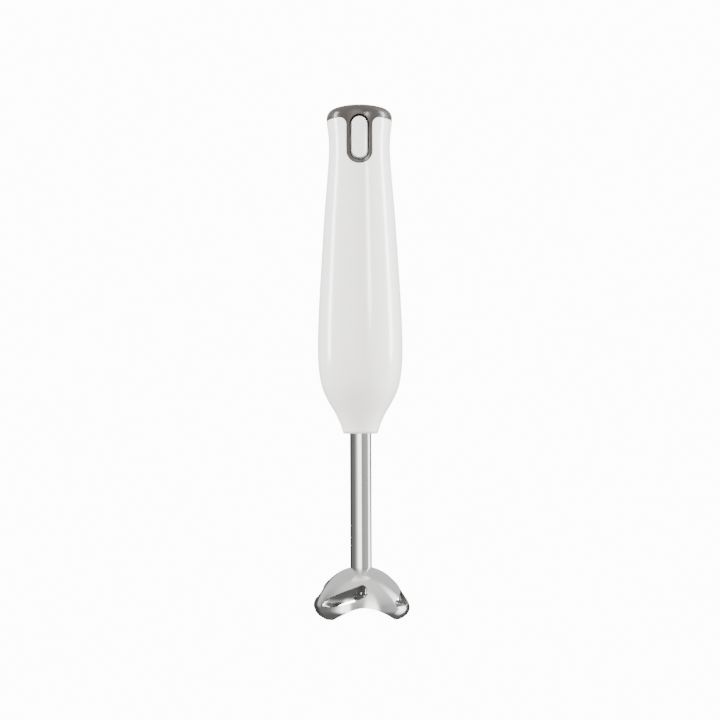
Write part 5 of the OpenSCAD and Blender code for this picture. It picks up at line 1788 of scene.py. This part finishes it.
    def armature(self) -> bpy.types.Object:
        """Builds the armature's windings: a bundle in each slot, and end turns that cross to another slot."""
        low, high = (p[2] for p in box("armature_core"))
        reach, _, top = box("armature_windings")[1]
        out = reach - self.bundle_r - 0.1
        rise = 2 * (top - high - self.bundle_r) - 0.1
        span = 2 * math.pi * 5 / self.slots
        t = GeoTree("armature_winding_tree", {
            "Bundle": self.bundle_r, "Slots": self.slots, "Start": (out, 0.0, high - 0.5),
            "Over": (8.6 * math.cos(span / 2), 8.6 * math.sin(span / 2), high + rise),
            "End": (out * math.cos(span), out * math.sin(span), high - 0.5), "Foot": (out, 0.0, low - 0.5),
            "Height": low + high})
        e = t.entry
        over = t.make("GeometryNodeCurveQuadraticBezier", {"Resolution": 14, "Start": e["Start"],
                                                          "Middle": e["Over"], "End": e["End"]})
        over = t.tube(over, e["Bundle"])
        under = t.moved(over, t.vector(z=e["Height"]), (math.pi, 0, 0))
        straight = t.tube(t.make("GeometryNodeCurvePrimitiveLine", {"Start": e["Foot"], "End": e["Start"]}),
                          e["Bundle"])
        return t.bake("armature_wound", t.ring(t.join(over, under, straight), e["Slots"]), END_WINDING)

    def fan(self) -> bpy.types.Object:
        """Builds the cooling fan: a turned hub and disc with curved blades."""
        (_, _, low), (radius, _, high) = box("cooling_fan")
        t = GeoTree("fan_tree", {"Blades": self.blades, "Blade": (radius - 6.6, 1.0, high - low - 1.5),
                                 "Middle": (radius / 2 + 2.9, 0.0, (high + low) / 2 - 0.75), "Curl": 0.014})
        e = t.entry
        blade = t.moved(t.make("GeometryNodeMeshCube", {"Size": e["Blade"], "Vertices X": 9, "Vertices Y": 2,
                                                       "Vertices Z": 2}), e["Middle"])
        x, y, z = t.parts()
        lean = t.times(t.times(x, x), e["Curl"])
        blade = t.placed(blade, t.vector(t.times(x, 0.985), t.minus(y, lean), z))
        hub = 6.5
        profile = [(2.5, low), (hub - 0.6, low), (hub, low + 0.6), (hub, high - 2.0), (hub + 0.6, high - 1.4),
                   (radius - 0.3, high - 1.4), (radius - 0.02, high - 1.1), (radius - 0.02, high - 0.3),
                   (radius - 0.3, high), (2.5, high)]
        points, faces = turned(profile, 72)
        return t.bake("cooling_fan_moulded", t.join(e["Geometry"], t.ring(blade, e["Blades"])), DARK_NYLON,
                      points, (), faces)

    def solder(self) -> bpy.types.Object:
        """Builds the solder joints on the back of the board."""
        back = box("circuit_board")[1][1]
        places = [(x, back, z) for x, z in (
            *((6 * i, 323.4) for i in (-1, 0, 1)), (-5, 309), (5, 309), (5, 314.8), (-5, 314.8),
            (-2.2, 291.5), (8.2, 291.5), (-2.2, 288), (8.2, 288), (-13, 294), (-13, 297), (-9.8, 294),
            (-9.8, 297), (-13, 300), (-9.8, 300), (13.4, 289), (-13.4, 287.5))]
        t = GeoTree("solder_tree", {"Foot": 1.0, "Height": 0.9})
        e = t.entry
        joint = t.make("GeometryNodeMeshCone", {"Vertices": 12, "Side Segments": 4, "Fill Segments": 1,
                                               "Radius Top": 0.22, "Radius Bottom": e["Foot"],
                                               "Depth": e["Height"]})
        x, y, z = t.parts()
        share = t.over(z, e["Height"])
        waist = t.minus(1.0, t.times(t.times(share, t.minus(1.0, share)),
                                               1.3))
        joint = t.placed(joint, t.vector(t.times(x, waist), t.times(y, waist), z))
        return t.bake("solder_joints", t.copies(joint, e["Geometry"], (-math.pi / 2, 0, 0)), SOLDER, places)


class Eased:
    """Rounds the edges of the plain parts inside."""

    WIDTHS: dict[float, tuple[str, ...]] = {
        0.12: ("brush_holders", "brushes", "thrust_washer", "commutator", "switch_terminals", "shaft_seal",
               "blade", "circuit_board", "upper_motor_bearing", "lower_motor_bearing", "stator_core",
               "armature_core", "rectifier_diodes", "blade_nut"),
        0.3: ("switch_bracket", "switch_plunger", "cord_clamp", "terminal_block", "leg_socket", "bearing_carrier",
              "motor_coupling", "shaft_coupling", "motor_shaft", "drive_shaft", "upper_motor_bracket",
              "lower_motor_bracket", "upper_leg_bush", "lower_leg_bush", "blade_hub"),
        0.5: ("switch_body", "capacitor", "upper_damper", "lower_damper", "cord_gland"),
    }

    @staticmethod
    def copy(node: str, width: float) -> bpy.types.Object:
        """Copies a node with its edges rounded.

        Args:
            node: Name of the node.
            width: Width of the rounding in millimetres.

        Returns:
            The new object, linked to the scene.
        """
        work = bmesh.new()
        work.from_mesh(frame["nodes"][node].data)
        bmesh.ops.remove_doubles(work, verts=work.verts, dist=0.01 * MM)
        bmesh.ops.dissolve_limit(work, angle_limit=math.radians(1), verts=work.verts, edges=work.edges)
        sharp = [e for e in work.edges if len(e.link_faces) == 2 and e.calc_face_angle(0) > math.radians(40)]
        bmesh.ops.bevel(work, geom=sharp, offset=width * MM, offset_type="OFFSET", segments=2, profile=0.5,
                        affect="EDGES", clamp_overlap=True)
        mesh = bpy.data.meshes.new(node + "_eased")
        work.to_mesh(mesh)
        work.free()
        for name in [a.name for a in mesh.attributes if a.name.startswith("custom_normal")]:
            mesh.attributes.remove(mesh.attributes[name])
        mesh.shade_smooth()
        mesh.set_sharp_from_angle(angle=math.radians(50))
        return linked(node + "_eased", mesh)


# ---------------------------------------------------------------- studio

@dataclass
class Studio:
    """Pale floor, soft lights and the camera. Lengths are in metres."""

    distance: float = 1.2
    eye_height: float = 0.12
    middle: float = 0.1899
    aside: float = -0.0005
    roll: float = 0.0041
    lens: float = 80.6
    sensor: float = 36.0
    floor_size: float = 30.0
    backdrop: float = 13.0
    fill: float = 2.2
    gloss: float = 5.5
    overhead: float = 0.25
    underfoot: float = 0.03
    far_side: float = 0.18
    bands: tuple[tuple[float, float], ...] = (
        (-180, 0.014), (-124, 0.014), (-112, 0.04), (-68, 0.05), (-48, 0.16), (-29, 0.6), (-22, 1.0), (6, 1.0),
        (9, 0.1), (50, 0.13), (84, 0.15), (87, 1.0), (116, 1.0), (120, 0.02), (180, 0.014))
    receivers: bpy.types.Collection | None = None

    def build(self, lit: Sequence[bpy.types.Object]) -> None:
        """Builds the whole studio.

        Args:
            lit: The pieces that take the gloss of the strip lights.
        """
        self.receivers = bpy.data.collections.new("strip_receivers")
        for piece in lit:
            self.receivers.objects.link(piece)
        self.floor()
        self.camera()
        self.world()
        self.strip("left_strip", (-1.5, 0.05, 0.66), (0.3, 1.05), 55.0)
        self.strip("right_strip", (1.5, 0.05, 0.66), (0.3, 1.05), 55.0)
        self.strip("narrow_strip", (0.73, -1.43, 0.68), (0.26, 0.42), 60.0)
        self.strip("front_softbox", (-0.5, -1.9, 1.5), (1.2, 1.2), 3.0).visible_glossy = False
        LOG.info("studio: floor, camera, world and four lights")

    def floor(self) -> None:
        """Makes the plain floor, which stays pale under the camera."""
        h = self.floor_size / 2
        mesh = bpy.data.meshes.new("floor")
        mesh.from_pydata([(-h, -h, 0), (h, -h, 0), (h, h, 0), (-h, h, 0)], [], [(0, 1, 2, 3)])
        floor = linked("floor", mesh)
        material = bpy.data.materials.new("pale_floor")
        material.use_nodes = True
        t = Tree(material.node_tree)
        matt = t.make("ShaderNodeBsdfDiffuse", {"Color": (0.9, 0.9, 0.9, 1)})
        glow = t.make("ShaderNodeEmission", {"Strength": self.backdrop})
        seen = t.add("ShaderNodeLightPath").outputs["Is Camera Ray"]
        both = t.make("ShaderNodeMixShader", {0: seen, 1: matt, 2: glow})
        t.add("ShaderNodeOutputMaterial", {"Surface": both})
        mesh.materials.append(material)
        floor.visible_glossy = False

    def camera(self) -> None:
        """Places the camera in front of the button side, a little below the middle."""
        data = bpy.data.cameras.new("camera")
        data.lens, data.sensor_width = self.lens, self.sensor
        data.clip_start, data.clip_end = 0.01, 100
        camera = linked("camera", data)
        camera.location = (self.aside, -self.distance, self.eye_height)
        pitch = math.atan2(self.middle - self.eye_height, self.distance)
        camera.rotation_euler = (math.pi / 2 + pitch, self.roll, 0)
        bpy.context.scene.camera = camera

    def world(self) -> None:
        """Makes the room: white to the camera, even for soft light, and banded like a tent for gloss."""
        world = bpy.data.worlds.new("studio")
        world.use_nodes = True
        t = Tree(world.node_tree)
        x, y, z = t.add("ShaderNodeSeparateXYZ", {0: t.add("ShaderNodeTexCoord").outputs["Generated"]}).outputs
        turn = t.math("ARCTAN2", x, t.times(y, -1.0))
        ramp = t.add("ShaderNodeValToRGB", {0: t.ramp(turn, -math.pi, math.pi)})
        elements = ramp.color_ramp.elements
        for _ in range(len(self.bands) - len(elements)):
            elements.new(0.5)
        for element, (degrees, level) in zip(elements, self.bands):
            element.position = (degrees + 180) / 360
            element.color = (level, level, level, 1)
        tent = t.mix(t.ramp(z, 0.55, 0.95), ramp.outputs[0], (self.overhead,) * 3 + (1,))
        tent = t.mix(t.ramp(z, -0.35, -0.7), tent, (self.underfoot,) * 3 + (1,))
        behind = t.times(t.ramp(t.math("ABSOLUTE", turn), 1.8, 2.3), t.ramp(z, 0.12, 0.24))
        tent = t.mix(behind, tent, (self.far_side,) * 3 + (1,))
        gloss = t.make("ShaderNodeBackground", {0: tent, 1: self.gloss})
        soft = t.make("ShaderNodeBackground", {0: (1.0, 0.985, 0.97, 1), 1: self.fill})
        white = t.make("ShaderNodeBackground", {0: (1, 1, 1, 1), 1: self.backdrop})
        path = t.add("ShaderNodeLightPath")
        lit = t.make("ShaderNodeMixShader", {0: path.outputs["Is Glossy Ray"], 1: soft, 2: gloss})
        shown = t.make("ShaderNodeMixShader", {0: path.outputs["Is Camera Ray"], 1: lit, 2: white})
        t.add("ShaderNodeOutputWorld", {"Surface": shown})
        bpy.context.scene.world = world

    def strip(self, name: str, place: tuple[float, float, float], size: tuple[float, float],
              radiance: float) -> bpy.types.Object:
        """Adds a rectangular soft light that faces the grip's middle and lights the grip only.

        Args:
            name: Name of the light.
            place: Its place.
            size: Its width and height.
            radiance: Its brightness, whatever its size.

        Returns:
            The light.
        """
        data = bpy.data.lights.new(name, "AREA")
        data.shape, data.size, data.size_y = "RECTANGLE", size[0], size[1]
        data.energy = radiance * size[0] * size[1] * math.pi
        light = linked(name, data)
        light.location = place
        aim = Vector((0, 0, 0.25)) - Vector(place)
        light.rotation_euler = aim.to_track_quat("-Z", "Y").to_euler()
        light.visible_camera = False
        light.light_linking.receiver_collection = self.receivers
        return light


# ---------------------------------------------------------------- the whole blender

class Assembly:
    """Puts the finished pieces on their bodies in place of the plain nodes."""

    def __init__(self) -> None:
        """Notes which body each node moves with, and the finish of each node."""
        bodies = frame["record"]["behaviour"]["bodies"]
        self.body_of = {node: body for body, nodes in bodies.items() for node in nodes}
        self.finish_of = {node: finish for finish, nodes in NODE_FINISHES.items() for node in nodes}

    def fit(self, piece: bpy.types.Object, finish: Finish, node: str, replaces: bool = True) -> bpy.types.Object:
        """Dresses a piece, rides it on a node's body and hides the node.

        Args:
            piece: The finished mesh object.
            finish: Its finish.
            node: The node that it stands for or belongs to.
            replaces: Whether the node is hidden.

        Returns:
            The piece.
        """
        piece.data.materials.clear()
        piece.data.materials.append(finish.material())
        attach(piece, self.body_of[node])
        if replaces:
            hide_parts(node)
        LOG.info("%s: %d faces on %s", piece.name, len(piece.data.polygons), self.body_of[node])
        return piece

    def dress_nodes(self) -> None:
        """Gives every node its own finish, for those that stay."""
        for node, finish in self.finish_of.items():
            for slot in frame["nodes"][node].material_slots:
                slot.material = finish.material()

    def grip(self) -> list[bpy.types.Object]:
        """Fits the shells, the cap and the button, and gives them."""
        grip, button = Grip(), Button()
        return [
            self.fit(grip.front(), WHITE, "front_shell"),
            self.fit(grip.rear(), WHITE, "rear_shell"),
            self.fit(Cap().build(), GREY, "top_cap"),
            self.fit(button.build(), BUTTON_WHITE, "power_button"),
            # The lining's near-black is painted shade in the button's groove.
            self.fit(button.painted_shade_lining(), GROOVE_SHADE, "button_seal"),
        ]

    def screws(self, works: Works) -> None:
        """Fits every set of screws where the plain ones are."""
        for node in ("bracket_screws", "switch_screws", "clamp_screws", "board_screws"):
            low, high = box(node)
            back = node == "bracket_screws"
            y = high[1] - works.head_h if back else low[1] + works.head_h
            sides, heights = ({round(low[i] + works.head_r, 2), round(high[i] - works.head_r, 2)} for i in (0, 2))
            places = [(x, y, z) for x in sorted(sides) for z in sorted(heights)]
            length = high[1] - low[1] - works.head_h
            piece = works.screws(node + "_turned", places, (90 if back else -90, 0, 0), length)
            self.fit(piece, SCREW_STEEL, node)
        low, high = box("shell_screws")
        places = [(x, high[1] - works.head_h, z) for x, z in Grip().screws]
        self.fit(works.screws("shell_screws_turned", places, (90, 0, 0), high[1] - low[1] - works.head_h),
                 SCREW_STEEL, "shell_screws")
        low, high = box("motor_screws")
        places = [(0, s * (high[1] - works.head_r), high[2] - works.head_h) for s in (-1, 1)]
        self.fit(works.screws("motor_screws_turned", places, (180, 0, 0), high[2] - low[2] - works.head_h),
                 SCREW_STEEL, "motor_screws")

    def springs(self, works: Works) -> None:
        """Fits the button's spring, on a mesh of its own, and the brushes' springs."""
        low, high = box("button_spring")
        place = (0.0, low[1], (low[2] + high[2]) / 2)
        spring = works.spring("button_coil", place, (-90, 0, 0), (4.3, 0.45, high[1] - low[1], 4.0))
        self.fit(spring, SPRING_STEEL, "button_spring")
        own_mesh(spring)
        low, high = box("brush_springs")
        end = box("brushes")[1][0]
        self.fit(works.spring("brush_coils", (end, 0.0, (low[2] + high[2]) / 2), (0, 90, 0),
                              (1.7, 0.3, high[0] - end, 5.0), 2), SPRING_STEEL, "brush_springs")

    def wires(self, works: Works) -> None:
        """Fits the wires to the switch and to the brushes."""
        block, lug = box("terminal_block"), box("switch_terminals")
        y, lug_y = (block[0][1] + block[1][1]) / 2, lug[0][1] - works.wire_r - 0.05
        lug_x = lug[1][0] - 1.6
        route = [(6, y, block[1][2] - 2), (6, y, block[1][2] + 2.5), (lug_x, lug_y, lug[0][2] - 1.5),
                 (lug_x, lug_y, lug[0][2] + 2.2)]
        self.fit(works.wires("switch_wires_routed", route, BROWN_WIRE), BROWN_WIRE, "switch_wires")
        low, high = box("brush_wires")
        x = high[1] - works.wire_r
        _, board_y, board_z = box("circuit_board")[0]
        board_y -= works.wire_r + 0.05
        side_y = box("brush_holders")[1][1] + works.wire_r + 0.05
        route = [(x, board_y, board_z + 3.5), (x, board_y, board_z - 3), (x, x, board_z - 13),
                 (x, x, board_z - 24), (high[0] - works.wire_r, side_y, low[2] + works.wire_r + 0.1)]
        self.fit(works.wires("brush_wires_routed", route, BLUE_WIRE), BLUE_WIRE, "brush_wires")

    def motor(self, works: Works) -> None:
        """Fits the windings, the fan, the choke and the board's solder joints."""
        self.fit(works.choke(), ENAMEL, "choke")
        self.fit(works.field_coils(), ENAMEL, "field_coils")
        self.fit(works.armature(), END_WINDING, "armature_windings")
        self.fit(works.fan(), DARK_NYLON, "cooling_fan")
        self.fit(works.solder(), SOLDER, "circuit_board", replaces=False)

    def eased(self) -> None:
        """Fits copies of the plain parts with rounded edges."""
        for width, nodes in Eased.WIDTHS.items():
            for node in nodes:
                self.fit(Eased.copy(node, width), self.finish_of[node], node)


def main() -> None:
    """Builds every sub-assembly in order, then the studio."""
    logging.basicConfig(level=logging.INFO, format="%(name)s %(message)s")
    assembly, works = Assembly(), Works()
    assembly.dress_nodes()
    lit = assembly.grip()
    assembly.fit(Leg().build(), TUBE_STEEL, "leg_tube")
    assembly.fit(Bell().build(), BELL_STEEL, "bell_guard")
    assembly.screws(works)
    assembly.springs(works)
    assembly.wires(works)
    assembly.motor(works)
    assembly.eased()
    Studio().build(lit)


if __name__ == "__main__":
    main()
